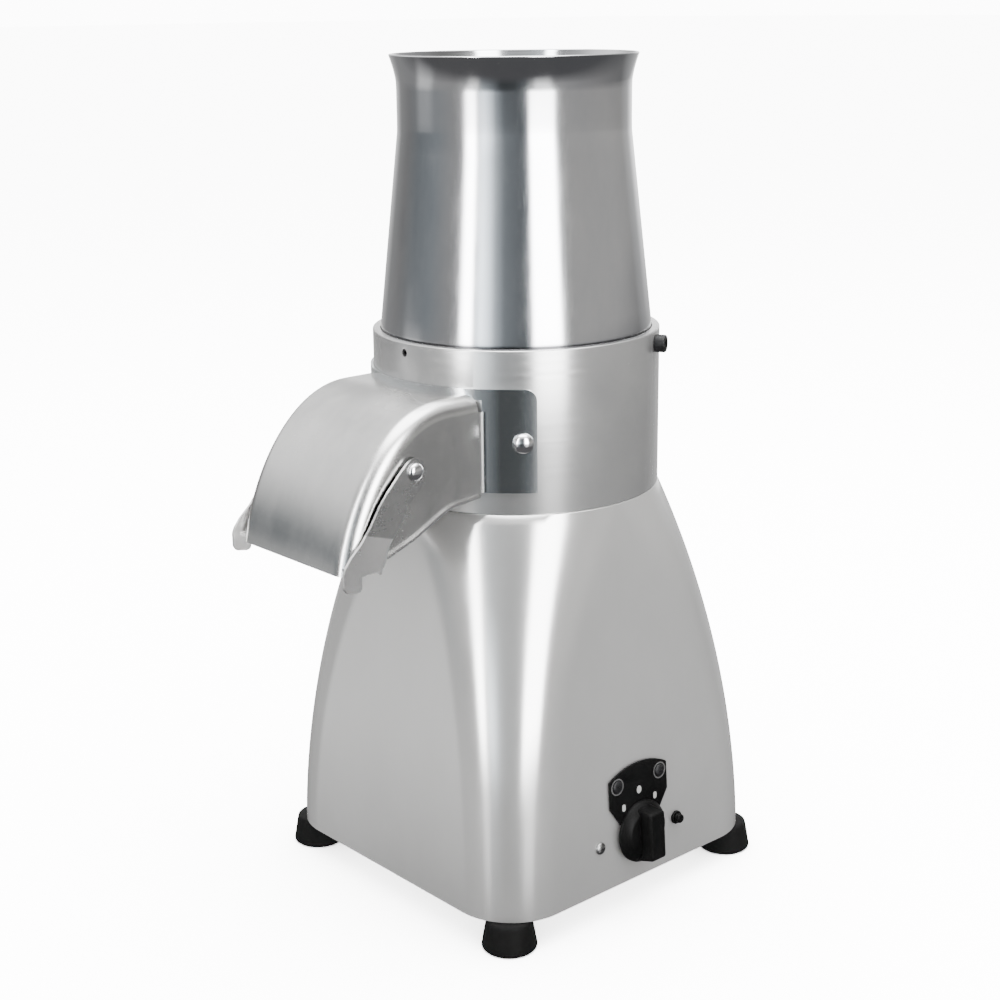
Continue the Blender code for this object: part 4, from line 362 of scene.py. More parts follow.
def extruded(outline, low, high, across="z"):
    """A prism from an outline in the two other axes."""
    turn = {"z": lambda p, h: (p[0], p[1], h), "y": lambda p, h: (p[0], h, p[1]),
            "x": lambda p, h: (h, p[0], p[1])}[across]
    work = bmesh.new()
    face = work.faces.new([work.verts.new(turn(p, low)) for p in outline])
    grown = bmesh.ops.extrude_face_region(work, geom=[face])
    shifted = [v for v in grown["geom"] if isinstance(v, bmesh.types.BMVert)]
    bmesh.ops.translate(work, verts=shifted, vec=Vector(turn((0, 0), high)) - Vector(turn((0, 0), low)))
    return work


def box(low, high):
    outline = ((low[0], low[1]), (high[0], low[1]), (high[0], high[1]), (low[0], high[1]))
    return extruded(outline, low[2], high[2])


def rod(radius, low, high, centre=(0.0, 0.0), segments=32):
    """A round rod along Z."""
    work = bmesh.new()
    bmesh.ops.create_cone(work, cap_ends=True, segments=segments, radius1=radius, radius2=radius,
                          depth=high - low)
    bmesh.ops.translate(work, verts=work.verts, vec=(centre[0], centre[1], (low + high) / 2))
    return work


def merged(parts):
    """One edit mesh from several, which are used up."""
    work = bmesh.new()
    for part in parts:
        scratch = bpy.data.meshes.new("scratch")
        part.to_mesh(scratch)
        part.free()
        work.from_mesh(scratch)
        bpy.data.meshes.remove(scratch)
    return work


def moved(part, matrix):
    bmesh.ops.transform(part, matrix=matrix, verts=part.verts)
    return part


def to(x, y, z):
    return Matrix.Translation((x, y, z))


def about(axis, degrees):
    return Matrix.Rotation(math.radians(degrees), 4, axis)


def along_front(part, across=0.0, height=0.0):
    """Lay a Z rod along -Y, out of the front panel."""
    return moved(part, to(across, 0, height) @ about("X", 90))


def to_mesh(name, work):
    bmesh.ops.remove_doubles(work, verts=work.verts, dist=TINY)
    bmesh.ops.recalc_face_normals(work, faces=work.faces)
    mesh = bpy.data.meshes.new(name)
    work.to_mesh(mesh)
    work.free()
    return mesh


def shape(name, work, changes=(), bevel=0.0, angle=32):
    """An object from an edit mesh, with its cuts and joins applied and its edges softened."""
    made = add(name, to_mesh(name, work))
    tools = []
    for i, (operation, part) in enumerate(changes):
        tool = add(name + "_tool", to_mesh(name + "_tool", part))
        tools.append(tool)
        change = made.modifiers.new("change" + str(i), "BOOLEAN")
        change.operation = operation
        change.solver = "EXACT"
        change.object = tool
    if bevel:
        soften = made.modifiers.new("soften", "BEVEL")
        soften.width = bevel
        soften.segments = 2
        soften.limit_method = "ANGLE"
        soften.angle_limit = math.radians(angle)
    if made.modifiers:
        graph = bpy.context.evaluated_depsgraph_get()
        graph.update()
        mesh = bpy.data.meshes.new_from_object(made.evaluated_get(graph))
        made.modifiers.clear()
        made.data = mesh
        mesh.name = name
    for tool in tools:
        bpy.data.objects.remove(tool, do_unlink=True)
    made.data.shade_smooth()
    made.data.set_sharp_from_angle(angle=math.radians(angle + 4))
    return made


def dress(made, finish, body, slot, *nodes, shift=True):
    """Give a piece its finish, its place on the machine's axis and its body, and hide the model's nodes it
    stands for.
    """
    made.data.materials.clear()
    made.data.materials.append(finish)
    if shift:
        made.data.transform(Matrix.Translation(AXIS))
    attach(made, body)
    if nodes:
        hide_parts(*nodes)
    return made


def radial(part, angle, radius, height):
    """Turn a Z part to point outwards from the axis at an angle, with its origin at a radius."""
    return moved(part, about("Z", angle) @ to(radius, 0, height) @ about("Y", 90))


def fillet(points, radius_of, steps=6):
    """Round the listed corners of an outline."""
    out = []
    count = len(points)
    for i, point in enumerate(points):
        radius = radius_of.get(i, 0.0)
        if not radius:
            out.append(point)
            continue
        p = Vector(point)
        a = Vector(points[i - 1]) - p
        b = Vector(points[(i + 1) % count]) - p
        half = a.angle(b) / 2
        reach = min(radius / math.tan(half), a.length * 0.49, b.length * 0.49)
        start = p + a.normalized() * reach
        end = p + b.normalized() * reach
        for k in range(steps + 1):
            t = k / steps
            q = start * (1 - t) ** 2 + p * 2 * t * (1 - t) + end * t * t
            out.append((q.x, q.y))
    return out


# Stand

def flank(height):
    """Half the width of the stand at a height."""
    share = max((height - STAND_LOW) / (STAND_TOP - STAND_LOW), 0.0)
    return STAND_HALF - (STAND_HALF - CHAMBER_RADIUS) * share ** 1.53


def corner(height):
    """The corner radius of the stand at a height."""
    share = max((height - STAND_LOW) / (STAND_TOP - STAND_LOW), 0.0)
    return STAND_CORNER + (CHAMBER_RADIUS - STAND_CORNER) * share ** 2.67


def flank_slope(height):
    return math.atan((flank(height - MM) - flank(height + MM)) / (2 * MM))


def panel_up(height):
    """The place of a height on the sloped front panel, measured along it."""
    return (height - PANEL_HEIGHT) / math.cos(flank_slope(PANEL_HEIGHT))


def panel_frame(height, across, side):
    """The frame of a face of the stand, leaning with it: side -1 is the front, 1 the back."""
    turn = Euler((-flank_slope(height), 0.0, 0.0 if side < 0 else math.pi), "XYZ").to_matrix().to_4x4()
    return Matrix.Translation(AXIS + Vector((across, side * flank(height), height))) @ turn


FRONT = panel_frame(PANEL_HEIGHT, 0.0, -1)
BACK = panel_frame(50.0 * MM, 60.0 * MM, 1)
TO_AXIS = Matrix.Translation(-AXIS)


def rounded_square(half, radius, height):
    points = []
    centre = half - radius
    for k, (sx, sy) in enumerate(((1, 1), (-1, 1), (-1, -1), (1, -1))):
        for x, y in arc((sx * centre, sy * centre), radius, 90 * k, 90 * k + 90, 20):
            points.append((x, y, height))
        x, y = points[-1][:2]
        nx, ny = (-sx * centre, y) if k % 2 == 0 else (x, -sy * centre)
        for i in range(1, 6):
            points.append((x + (nx - x) * i / 6, y + (ny - y) * i / 6, height))
    return points


def stand_rings():
    """The stand's levels as (half width, corner radius, height): up the outside, in, and down the inside."""
    steps = 44
    inset = 0.5 * MM
    hole = 60.0 * MM
    low = STAND_LOW + 3.3 * MM
    high = low + SHEET
    levels = [STAND_LOW + inset + (STAND_TOP - STAND_LOW - 2 * inset) * i / steps for i in range(steps + 1)]
    within = [height for height in levels[-2:0:-1] if high + SHEET < height < STAND_TOP - 2 * SHEET]

    def ring(height, inwards=0.0):
        return flank(height) - inwards, corner(height) - inwards, height

    rings = [ring(STAND_LOW, inset)] + [ring(height) for height in levels] + [ring(STAND_TOP, inset)]
    rings += [(hole, hole, STAND_TOP), (hole, hole, STAND_TOP - SHEET), ring(STAND_TOP - SHEET, SHEET)]
    rings += [ring(height, SHEET) for height in within]
    rings += [ring(high, SHEET), ring(high, 14 * MM), ring(low, 14 * MM), ring(low, SHEET)]
    rings.append(ring(STAND_LOW, SHEET))
    return rings, low, high


def plate_holes(up, reach):
    """Rods for the switch spindle and the two plate screws."""
    holes = [along_front(rod(SPINDLE_HOLE, -reach, reach), KNOB_ACROSS, up)]
    for side in (-1, 1):
        across = KNOB_ACROSS + side * PLATE_SCREW_ACROSS
        holes.append(along_front(rod(SMALL_HOLE, -reach, reach), across, up + PLATE_SCREW_UP))
    return holes


def build_stand():
    rings, low, high = stand_rings()
    work = bmesh.new()
    loops = [[work.verts.new(point) for point in rounded_square(*ring)] for ring in rings]
    count = len(loops[0])
    for k, here in enumerate(loops):
        after = loops[(k + 1) % len(loops)]
        for i in range(count):
            j = (i + 1) % count
            work.faces.new((here[i], here[j], after[j], after[i]))
    reach = 12 * MM
    holes = plate_holes(panel_up(KNOB_HEIGHT), reach)
    holes.append(along_front(rod(CLEAR_HOLE, -reach, reach), RESET[0], panel_up(RESET[1])))
    holes.append(along_front(rod(SMALL_HOLE, -reach, reach), CLIP_SCREW[0], panel_up(CLIP_SCREW[1])))
    holes = [moved(hole_part, TO_AXIS @ FRONT) for hole_part in holes]
    holes.append(moved(along_front(rod(SPINDLE_HOLE, -reach, reach)), TO_AXIS @ BACK))
    holes += [rod(FOOT_SCREW_HOLE, low - MM, high + MM, centre) for centre in FOOT_PLACES]
    holes += [rod(BOLT_HOLE, STAND_TOP - 4 * MM, STAND_TOP + MM, centre)
              for centre in on_circle((0, 0), BOLT_CIRCLE, BOLT_ANGLES)]
    stand = shape("stand_skin", work, cut(merged(holes)), angle=28)
    dress(stand, STAND_STEEL, "stand", "brushed_steel", "stand_shell")


def build_feet():
    names = ("front_left", "front_right", "rear_left", "rear_right")
    profile = [(3.3, 8.0), (7.0, 8.0), (7.0, 0.6), (7.6, 0.0), (17.6, 0.0), (18.9, 0.35), (19.75, 1.2),
               (20.0, 2.2), (19.2, 6.4), (18.35, 11.6), (16.85, 19.4), (16.4, 21.0), (15.6, 21.8),
               (14.4, 22.0), (3.3, 22.0)]
    for name, (x, y) in zip(names, FOOT_PLACES):
        foot = turned(in_mm(profile), 72)
        made = shape("rubber_foot_" + name, moved(foot, to(x, y, 0)), angle=40)
        dress(made, RUBBER, "stand", "black_rubber", "foot_" + name)


# Chamber and hopper

EAR_SCREWS = tuple((180 + side * EAR_SCREW_ANGLE, EAR_SCREW_HEIGHT, CLEAR_HOLE) for side in (-1, 1))
RADIAL_SCREWS = EAR_SCREWS + ((CLAMP_SCREW_ANGLE, CLAMP_SCREW_HEIGHT, CLEAR_HOLE),
                              (-CLAMP_SCREW_ANGLE, CLAMP_SCREW_HEIGHT, CLEAR_HOLE),
                              (180, STOP_SCREW_HEIGHT, STOP_HOLE))


def radial_holes(screws, start, end):
    """Rods that cut the screws' holes between two radii."""
    return [moved(rod(radius, start, end), about("Z", angle) @ to(0, 0, height) @ about("Y", 90))
            for angle, height, radius in screws]


def build_chamber():
    cove = 4 * MM
    profile = [(14.0 * MM, CHAMBER_LOW), (CHAMBER_RADIUS - 0.4 * MM, CHAMBER_LOW),
               (CHAMBER_RADIUS, CHAMBER_LOW + 0.4 * MM), (CHAMBER_RADIUS, CHAMBER_TOP - 1.0 * MM)]
    profile += on_circle((CHAMBER_RADIUS - MM, CHAMBER_TOP - MM), MM, (22, 45, 68, 90))
    profile += [(99.6 * MM, CHAMBER_TOP), (99.2 * MM, CHAMBER_TOP - 0.4 * MM), (99.2 * MM, LEDGE),
                (CHAMBER_BORE, LEDGE), (CHAMBER_BORE, FLOOR_TOP + cove)]
    profile += on_circle((CHAMBER_BORE - cove, FLOOR_TOP + cove), cove, (-22, -45, -68, -90))
    profile += [(30.0 * MM, FLOOR_TOP), (28.0 * MM, FLOOR_TOP + 2 * MM), (28.0 * MM, BOSS_TOP - MM),
                (27.0 * MM, BOSS_TOP), (21.3 * MM, BOSS_TOP), (21.3 * MM, BOSS_TOP - 8 * MM),
                (14.0 * MM, BOSS_TOP - 8 * MM)]
    window = box((-CHAMBER_RADIUS - 5 * MM, -54 * MM, 318 * MM), (-CHAMBER_BORE * 0.75, 54 * MM, 384 * MM))
    holes = [rod(CLEAR_HOLE, CHAMBER_LOW - MM, FLOOR_TOP - 3 * MM, centre)
             for centre in on_circle((0, 0), BOLT_CIRCLE, BOLT_ANGLES)]
    holes += radial_holes(RADIAL_SCREWS, CHAMBER_BORE - 5 * MM, CHAMBER_RADIUS + 5 * MM)
    made = shape("chamber_ring", turned(profile, 192), cut(window, merged(holes)), angle=30)
    dress(made, RING_METAL, "stand", "satin_aluminium", "chamber_body")


def build_hopper():
    low = LEDGE + GAP
    neck_low = CHAMBER_TOP + 143 * MM
    neck_high = neck_low + 29 * MM
    top = neck_high + 20.8 * MM
    half_sheet = 0.8 * MM
    taper = 15.5 * MM
    neck = HOPPER_RADIUS - taper
    outer = [(HOPPER_RADIUS - 0.4 * MM, low), (HOPPER_RADIUS, low + 0.4 * MM),
             (HOPPER_RADIUS, CHAMBER_TOP + MM)]
    start = CHAMBER_TOP + 3 * MM
    for i in range(12):
        share = i / 11
        outer.append((HOPPER_RADIUS - 0.12 * MM - (taper - 0.3 * MM) * share,
                      start + (neck_low - 4 * MM - start) * share))
    outer += [(neck + 0.06 * MM, neck_low), (neck, neck_low + 6 * MM), (neck, neck_high - 3 * MM)]
    for i in range(1, 13):
        share = i / 12
        outer.append((neck + 4.8 * MM * share ** 1.5, neck_high + (top - half_sheet - neck_high) * share))
    rim = on_circle((outer[-1][0] - half_sheet, top - half_sheet), half_sheet, (30, 60, 90, 120, 150))
    inner = [(radius - 2 * half_sheet, height) for radius, height in reversed(outer)]
    made = shape("hopper_tube", turned(outer + rim + inner, 192), angle=30)
    dress(made, HOPPER_STEEL, "feed", "brushed_steel", "hopper")


def socket_screw(shank, length, head, height):
    """A knurled head above Z = 0 with the shank below, and the tool that cuts its hexagon socket."""
    knurls = 36
    profile = [(0.0, -length), (shank, -length), (shank, 0.0), (head * 0.97, 0.0), (head, height * 0.06),
               (head, height * 0.86), (head * 0.96, height * 0.95), (head * 0.88, height), (0.0, height)]
    work = turned(profile, 4 * knurls)
    for vert in work.verts:
        reach = math.hypot(vert.co.x, vert.co.y)
        if reach > head * 0.95 and height * 0.05 < vert.co.z < height * 0.88:
            share = 1 - 0.025 * (1 + math.cos(math.atan2(vert.co.y, vert.co.x) * knurls)) / 2
            vert.co.x *= share
            vert.co.y *= share
    socket = extruded(arc((0, 0), head * 0.5 / math.cos(math.pi / 6), 0, 300, 5), height * 0.4, height + MM)
    return work, socket


def domed_screw(shank, length, dome, rise):
    """A round head above Z = 0 with the shank below."""
    steps = 9
    profile = [(0.0, -length), (shank, -length), (shank, 0.0), (dome * 0.985, 0.0), (dome, rise * 0.06)]
    for i in range(1, steps):
        angle = math.radians(90.0 * i / steps)
        profile.append((dome * math.cos(angle), rise * (0.06 + 0.94 * math.sin(angle))))
    profile.append((0.0, rise))
    return turned(profile, 48)


def build_chamber_screws():
    for name, side in (("rear", 1), ("front", -1)):
        screw, socket = socket_screw(4 * MM, 6.0 * MM, 6.4 * MM, 7.5 * MM)
        spot = (side * CLAMP_SCREW_ANGLE, CHAMBER_RADIUS + GAP, CLAMP_SCREW_HEIGHT)
        made = shape("clamp_screw_" + name, radial(screw, *spot), cut(radial(socket, *spot)), angle=35)
        dress(made, BLACK_METAL, "stand", "black_oxide", "hopper_clamp_screw_" + name)
    screw = turned(in_mm(((0.0, -5.7), (2.5, -5.7), (2.5, -1.2), (2.1, -0.8), (0.0, -0.8))), 48)
    socket = extruded(arc((0, 0), 1.45 * MM, 0, 300, 5), -3.0 * MM, MM)
    spot = (180, CHAMBER_RADIUS, STOP_SCREW_HEIGHT)
    made = shape("stop_screw", radial(screw, *spot), cut(radial(socket, *spot)), angle=35)
    dress(made, BLACK_METAL, "stand", "black_oxide", "hopper_stop_screw")
    seat = EAR_RADIUS + SHEET + GAP
    for name, side in (("rear", -1), ("front", 1)):
        screw = domed_screw(4 * MM, seat - CHAMBER_BORE - 1.2 * MM, 7.4 * MM, 4.4 * MM)
        angle = 180 + side * EAR_SCREW_ANGLE
        made = shape("ear_screw_" + name, radial(screw, angle, seat, EAR_SCREW_HEIGHT), angle=40)
        dress(made, POLISHED, "stand", "polished_steel", "hood_screw_" + name)


# Hood and flap

def from_chamber(x, z):
    """A point (x, z) from millimetres outwards and upwards of the chamber's lower edge."""
    return (-CHAMBER_RADIUS - x * MM, CHAMBER_LOW + z * MM)


def hood_curve(inset):
    """The roof's curve from the chamber to the mouth, drawn in by an inset."""
    steps = 30
    start = Vector((-118.0 * MM, HOOD_TOP))
    first = Vector((-165.0 * MM, HOOD_TOP))
    second = Vector(from_chamber(95.5, 30.6))
    end = Vector((HOOD_FRONT, HOOD_MOUTH))
    points = []
    for i in range(steps + 1):
        t = i / steps
        point = (start * (1 - t) ** 3 + first * 3 * t * (1 - t) ** 2 + second * 3 * t * t * (1 - t)
                 + end * t ** 3)
        slope = (first - start) * (1 - t) ** 2 + (second - first) * 2 * t * (1 - t) + (end - second) * t * t
        slope.normalize()
        points.append((point.x - slope.y * inset, point.y + slope.x * inset))
    return points


def hood_body(outline_at, half_width, edge_radius):
    """A closed body across the hood, with its outline drawn in at both ends to round the long edges."""
    steps = 12
    stations = []
    for i in range(steps + 1):
        turn = math.radians(90 * i / steps)
        stations.append((half_width - edge_radius * (1 - math.sin(turn)), edge_radius * (1 - math.cos(turn))))
    work = bmesh.new()
    rings = [[work.verts.new((x, y, z)) for x, z in outline_at(inset)]
             for y, inset in [(-y, inset) for y, inset in reversed(stations)] + stations]
    for here, after in zip(rings, rings[1:]):
        for i in range(len(here)):
            j = (i + 1) % len(here)
            work.faces.new((here[i], here[j], after[j], after[i]))
    work.faces.new(rings[0])
    work.faces.new(rings[-1][::-1])
    return work


def ear_cells():
    """The ears and the flange that joins them above the roof, as flat cells with corners (angle, height)."""
    step = HOOD_TOP - 3.5 * MM
    start = math.degrees(math.asin((HOOD_HALF - SHEET / 2) / EAR_RADIUS))
    side = []
    for i in range(9):
        turn = math.radians(11.25 * i)
        in_by = math.degrees(8 * MM * (1 - math.cos(turn)) / (EAR_RADIUS + SHEET / 2))
        side.append((55.4 - in_by, EAR_TOP - 8 * MM * (1 - math.sin(turn))))
    last = side[-1][0]
    side += [(last + (start - last) * i / 20, EAR_TOP) for i in range(1, 21)]
    cells = []
    for way in (-1, 1):
        for here, after in zip(side, side[1:]):
            cell = [(180 + way * here[0], EAR_BOTTOM), (180 + way * after[0], EAR_BOTTOM)]
            if after is side[-1]:
                cell.append((180 + way * after[0], step))
            cell += [(180 + way * after[0], after[1]), (180 + way * here[0], here[1])]
            cells.append(cell if way < 0 else cell[::-1])
    angles = [180 + start * (2 * i / 80 - 1) for i in range(81)]
    for here, after in zip(angles, angles[1:]):
        cells.append([(here, step), (after, step), (after, EAR_TOP), (here, EAR_TOP)])
    return cells


def wrapped(cells, radius, thickness):
    """A sheet wrapped round the Z axis from flat cells."""
    work = bmesh.new()
    loops = [[(round(angle, 4), round(height, 6)) for angle, height in cell] for cell in cells]
    sides = []
    for reach in (radius, radius + thickness):
        corners = {}
        for key in [key for loop in loops for key in loop]:
            if key not in corners:
                x, y = arc((0, 0), reach, key[0], key[0], 1)[0]
                corners[key] = work.verts.new((x, y, key[1]))
        sides.append(corners)
    inner, outer = sides
    edges = set()
    for loop in loops:
        work.faces.new([outer[key] for key in loop])
        work.faces.new([inner[key] for key in reversed(loop)])
        edges.update(zip(loop, loop[1:] + loop[:1]))
    for a, b in edges:
        if (b, a) not in edges:
            work.faces.new((outer[b], outer[a], inner[a], inner[b]))
    return work


def wall_fillets():
    """The bend between each side wall and its ear."""
    bend = arc((-90.87 * MM, -67.5 * MM), 6 * MM, 90, 36.6, 10)
    outline = bend + [(-86.4 * MM, -61.3 * MM), (-90.87 * MM, -61.2 * MM)]
    near = extruded(outline, EAR_BOTTOM + 0.2 * MM, 375.4 * MM)
    far = extruded([(x, -y) for x, y in outline], EAR_BOTTOM + 0.2 * MM, 375.4 * MM)
    return merged([near, far])


def build_hood():
    root = -CHAMBER_RADIUS + 14 * MM
    tip = from_chamber(69.1, -12.8)
    bend = from_chamber(45.1, -4.3)
    step = from_chamber(20.1, 8.2)
    near = from_chamber(12.1, 11.2)
    floor_root = CHAMBER_LOW + 13.7 * MM
    beyond = root + 28 * MM
    low = HOOD_MOUTH - 20 * MM

    def outside(inset):
        return ([(root, HOOD_TOP - inset)] + hood_curve(inset)
                + [(HOOD_FRONT + 1.5 * SHEET + inset, HOOD_MOUTH), tip, bend, step, near, (root, floor_root)])

    def inside(inset):
        curve = hood_curve(SHEET + inset)
        floor = [(x, z + SHEET) for x, z in (bend, step, near, (root, floor_root), (beyond, floor_root))]
        return ([(beyond, HOOD_TOP - SHEET - inset)] + curve
                + [(curve[-1][0], low), (tip[0] - MM, low), (tip[0] - MM, tip[1] + SHEET)] + floor)

    lip = [tip, bend, step, near, (root, floor_root), (root, floor_root + SHEET), (near[0], near[1] + SHEET),
           (step[0], step[1] + SHEET), (bend[0], bend[1] + SHEET), (tip[0], tip[1] + SHEET)]
    wide = HOOD_HALF + 5 * MM
    slot = [from_chamber(*p) for p in ((52.1, 46.2), (59.2, 43.2), (67.8, 34.7), (76.5, 24.1), (84.5, 10.7),
                                       (93.1, -2.8), (95.6, -11.8), (95.6, -17.8), (89.6, -17.8))]
    slot = fillet(slot, {0: 2 * MM, 1: 5 * MM, 2: 6 * MM, 3: 8 * MM, 4: 8 * MM, 5: 8 * MM, 6: 5 * MM})
    keep = HOOD_HALF - 4 * MM
    wedges = merged([extruded(slot, -wide, -keep, "y"), extruded(slot, keep, wide, "y")])
    under = box((HOOD_FRONT + 1.5 * SHEET, -wide, HOOD_MOUTH - 2 * SHEET),
                (tip[0] - SHEET / 4, wide, CHAMBER_LOW - 13.8 * MM))
    holes = radial_holes(EAR_SCREWS, CHAMBER_RADIUS - 2 * MM, CHAMBER_RADIUS + 8 * MM)
    holes.append(moved(rod(PIVOT_HOLE, -wide, wide), to(PIVOT[0], 0, PIVOT[1]) @ about("X", 90)))
    made = shape("discharge_hood", hood_body(outside, HOOD_HALF, 12 * MM),
                 [*cut(hood_body(inside, HOOD_HALF - SHEET, 10 * MM)),
                  ("UNION", extruded(lip, -HOOD_HALF - SHEET, HOOD_HALF + SHEET, "y")),
                  *cut(wedges, under, rod(EAR_RADIUS, STAND_TOP, CHAMBER_TOP, segments=192)),
                  ("UNION", wrapped(ear_cells(), EAR_RADIUS, SHEET)), ("UNION", wall_fillets()),
                  *cut(merged(holes))], angle=30)
    dress(made, HOOD_STEEL, "stand", "brushed_steel", "outlet_hood")


# The arm's outline round its pivot in millimetres, after the round end
ARM = ((-13.0, 0.6), (-23.4, -10.0), (-30.6, -18.8), (-38.3, -30.8), (-46.1, -40.5), (-54.5, -48.0),
       (-59.6, -54.2), (-61.4, -58.5), (-61.4, -68.0), (-59.2, -71.4), (-50.7, -73.0), (-47.8, -72.2),
       (-46.9, -70.2), (-47.0, -62.6), (-29.5, -61.3), (-26.5, -56.0), (-23.5, -46.5), (-16.0, -37.0),
       (-10.7, -30.0), (-7.0, -22.0), (5.0, -11.5))


def build_flap():
    inside = HOOD_HALF + SHEET + GAP
    outside = inside + SHEET
    outline = arc((0.0, 0.0), 9.2 * MM, -35, 132, 24) + in_mm(ARM)
    rounding = (6, 10, 12, 12, 12, 12, 8, 3, 3, 2.5, 2, 2, 1.5, 1.5, 3, 8, 12, 12, 12, 10, 6)
    outline = fillet(outline, {25 + i: radius * MM for i, radius in enumerate(rounding)}, 5)
    low = -60.9 * MM
    near, far = -29.5 * MM, -55.8 * MM
    plate = extruded(((near, low), (far, low), (far, low + SHEET), (near, low + SHEET)),
                     -inside - MM, inside + MM, "y")
    fold = box((near - SHEET, -inside - MM, low - 4 * MM), (near, inside + MM, low + MM))
    bore = moved(rod(PIVOT_HOLE, -outside - MM, outside + MM), about("X", 90))
    made = shape("flap_plate", extruded(outline, -outside, -inside, "y"),
                 [("UNION", extruded(outline, inside, outside, "y")), ("UNION", plate), ("UNION", fold),
                  *cut(bore)], angle=40)
    made.data.transform(to(PIVOT[0], 0.0, PIVOT[1]))
    dress(made, ARM_STEEL, "flap", "brushed_steel", "outlet_flap")


def build_flap_pivots():
    face = HOOD_HALF + SHEET + GAP + SHEET + GAP
    collar = HOOD_HALF + SHEET
    wall = HOOD_HALF - SHEET
    for name, side in (("front", -1), ("rear", 1)):
        profile = [(0.0, wall - 2.5 * MM), (5 * MM, wall - 2.5 * MM), (5 * MM, wall - GAP),
                   (3 * MM, wall - GAP), (3 * MM, HOOD_HALF + GAP), (5 * MM, HOOD_HALF + GAP),
                   (5 * MM, collar), (3 * MM, collar),
                   (3 * MM, face), (6.2 * MM, face), (6.3 * MM, face + 0.2 * MM)]
        for i in range(1, 9):
            angle = math.radians(90 * i / 9)
            profile.append((6.3 * MM * math.cos(angle), face + 3.6 * MM * (0.06 + 0.94 * math.sin(angle))))
        profile.append((0.0, face + 3.6 * MM))
        part = moved(turned(profile, 48), to(PIVOT[0], 0.0, PIVOT[1]) @ about("X", -90 * side))
        made = shape("pivot_rivet_" + name, part, angle=40)
        dress(made, POLISHED, "stand", "polished_steel", "flap_pivot_" + name)


# Controls

def plate_outline():
    half, shoulder, crown, waist, foot = 29.6 * MM, 45.1 * MM, 52.9 * MM, 24.2 * MM, 21 * MM
    rise = crown - shoulder
    radius = (half ** 2 + rise ** 2) / (2 * rise)
    reach = math.degrees(math.asin(half / radius))
    points = arc((0.0, crown - radius), radius, 90 - reach, 90 + reach, 24)
    points.append((-half, waist))
    points += arc((0.0, 0.0), foot, 155, 385, 40)
    points.append((half, waist))
    return fillet(points, {0: 1.5 * MM, 24: 1.5 * MM, 25: 2 * MM, len(points) - 1: 2 * MM}, 4)


def on_panel(made, finish, body, slot, *nodes):
    """Dress a piece that was built flat, after it is laid on the front panel."""
    made.data.transform(FRONT)
    return dress(made, finish, body, slot, *nodes, shift=False)


def build_controls():
    up = panel_up(KNOB_HEIGHT)
    front = -GAP - PLATE_THICKNESS
    plate = moved(extruded(plate_outline(), front, -GAP, "y"), to(KNOB_ACROSS, 0.0, up))
    plate = shape("legend_plate", plate, cut(merged(plate_holes(up, 5 * MM))), bevel=0.35 * MM, angle=40)
    on_panel(plate, PLASTIC, "stand", "black_plastic", "switch_plate")
    for name, side in (("left", -1), ("right", 1)):
        screw = domed_screw(2 * MM, 12 * MM, 4.6 * MM, 1.6 * MM)
        slot = box((-4.8 * MM, -0.45 * MM, 0.9 * MM), (4.8 * MM, 0.45 * MM, 2.5 * MM))
        slot = moved(slot, about("Z", 35 * side))
        spot = to(0, front - GAP, 0)
        across = KNOB_ACROSS + side * PLATE_SCREW_ACROSS
        made = shape("plate_screw_" + name, moved(along_front(screw, across, up + PLATE_SCREW_UP), spot),
                     cut(moved(along_front(slot, across, up + PLATE_SCREW_UP), spot)), angle=35)
        on_panel(made, BLACK_METAL, "stand", "black_oxide", "switch_screw_" + name)
    build_knob(up, front - GAP)
    build_marks(front, up)
    height = panel_up(RESET[1])
    profile = ((3.7, 2.0), (4.3, 2.0), (4.75, 1.85), (4.95, 1.5), (5.0, 1.1), (5.0, 0.3), (4.0, 0.3),
               (4.0, -2.6), (9.0, -2.6), (9.0, -26), (3.7, -26))
    made = shape("reset_bezel", along_front(turned(in_mm(profile), 64), RESET[0], height), angle=40)
    on_panel(made, PLASTIC, "stand", "black_plastic", "overload_breaker")
    profile = ((0, -15), (3.4, -15), (3.4, 4.9), (3.2, 5.45), (2.8, 5.85), (2.2, 6.0), (0, 6.0))
    made = shape("reset_cap", along_front(turned(in_mm(profile), 48), RESET[0], height), angle=40)
    on_panel(made, PLASTIC, "button", "black_plastic", "reset_button")
    screw = domed_screw(2 * MM, 10 * MM, 4.4 * MM, 2.2 * MM)
    slot = moved(box((-4.6 * MM, -0.4 * MM, 1.3 * MM), (4.6 * MM, 0.4 * MM, 3 * MM)), about("Z", 25))
    spot = to(0, -GAP, 0)
    height = panel_up(CLIP_SCREW[1])
    made = shape("clip_screw_head", moved(along_front(screw, CLIP_SCREW[0], height), spot),
                 cut(moved(along_front(slot, CLIP_SCREW[0], height), spot)), angle=35)
    on_panel(made, DULL_METAL, "stand", "polished_steel", "capacitor_clip_screw")


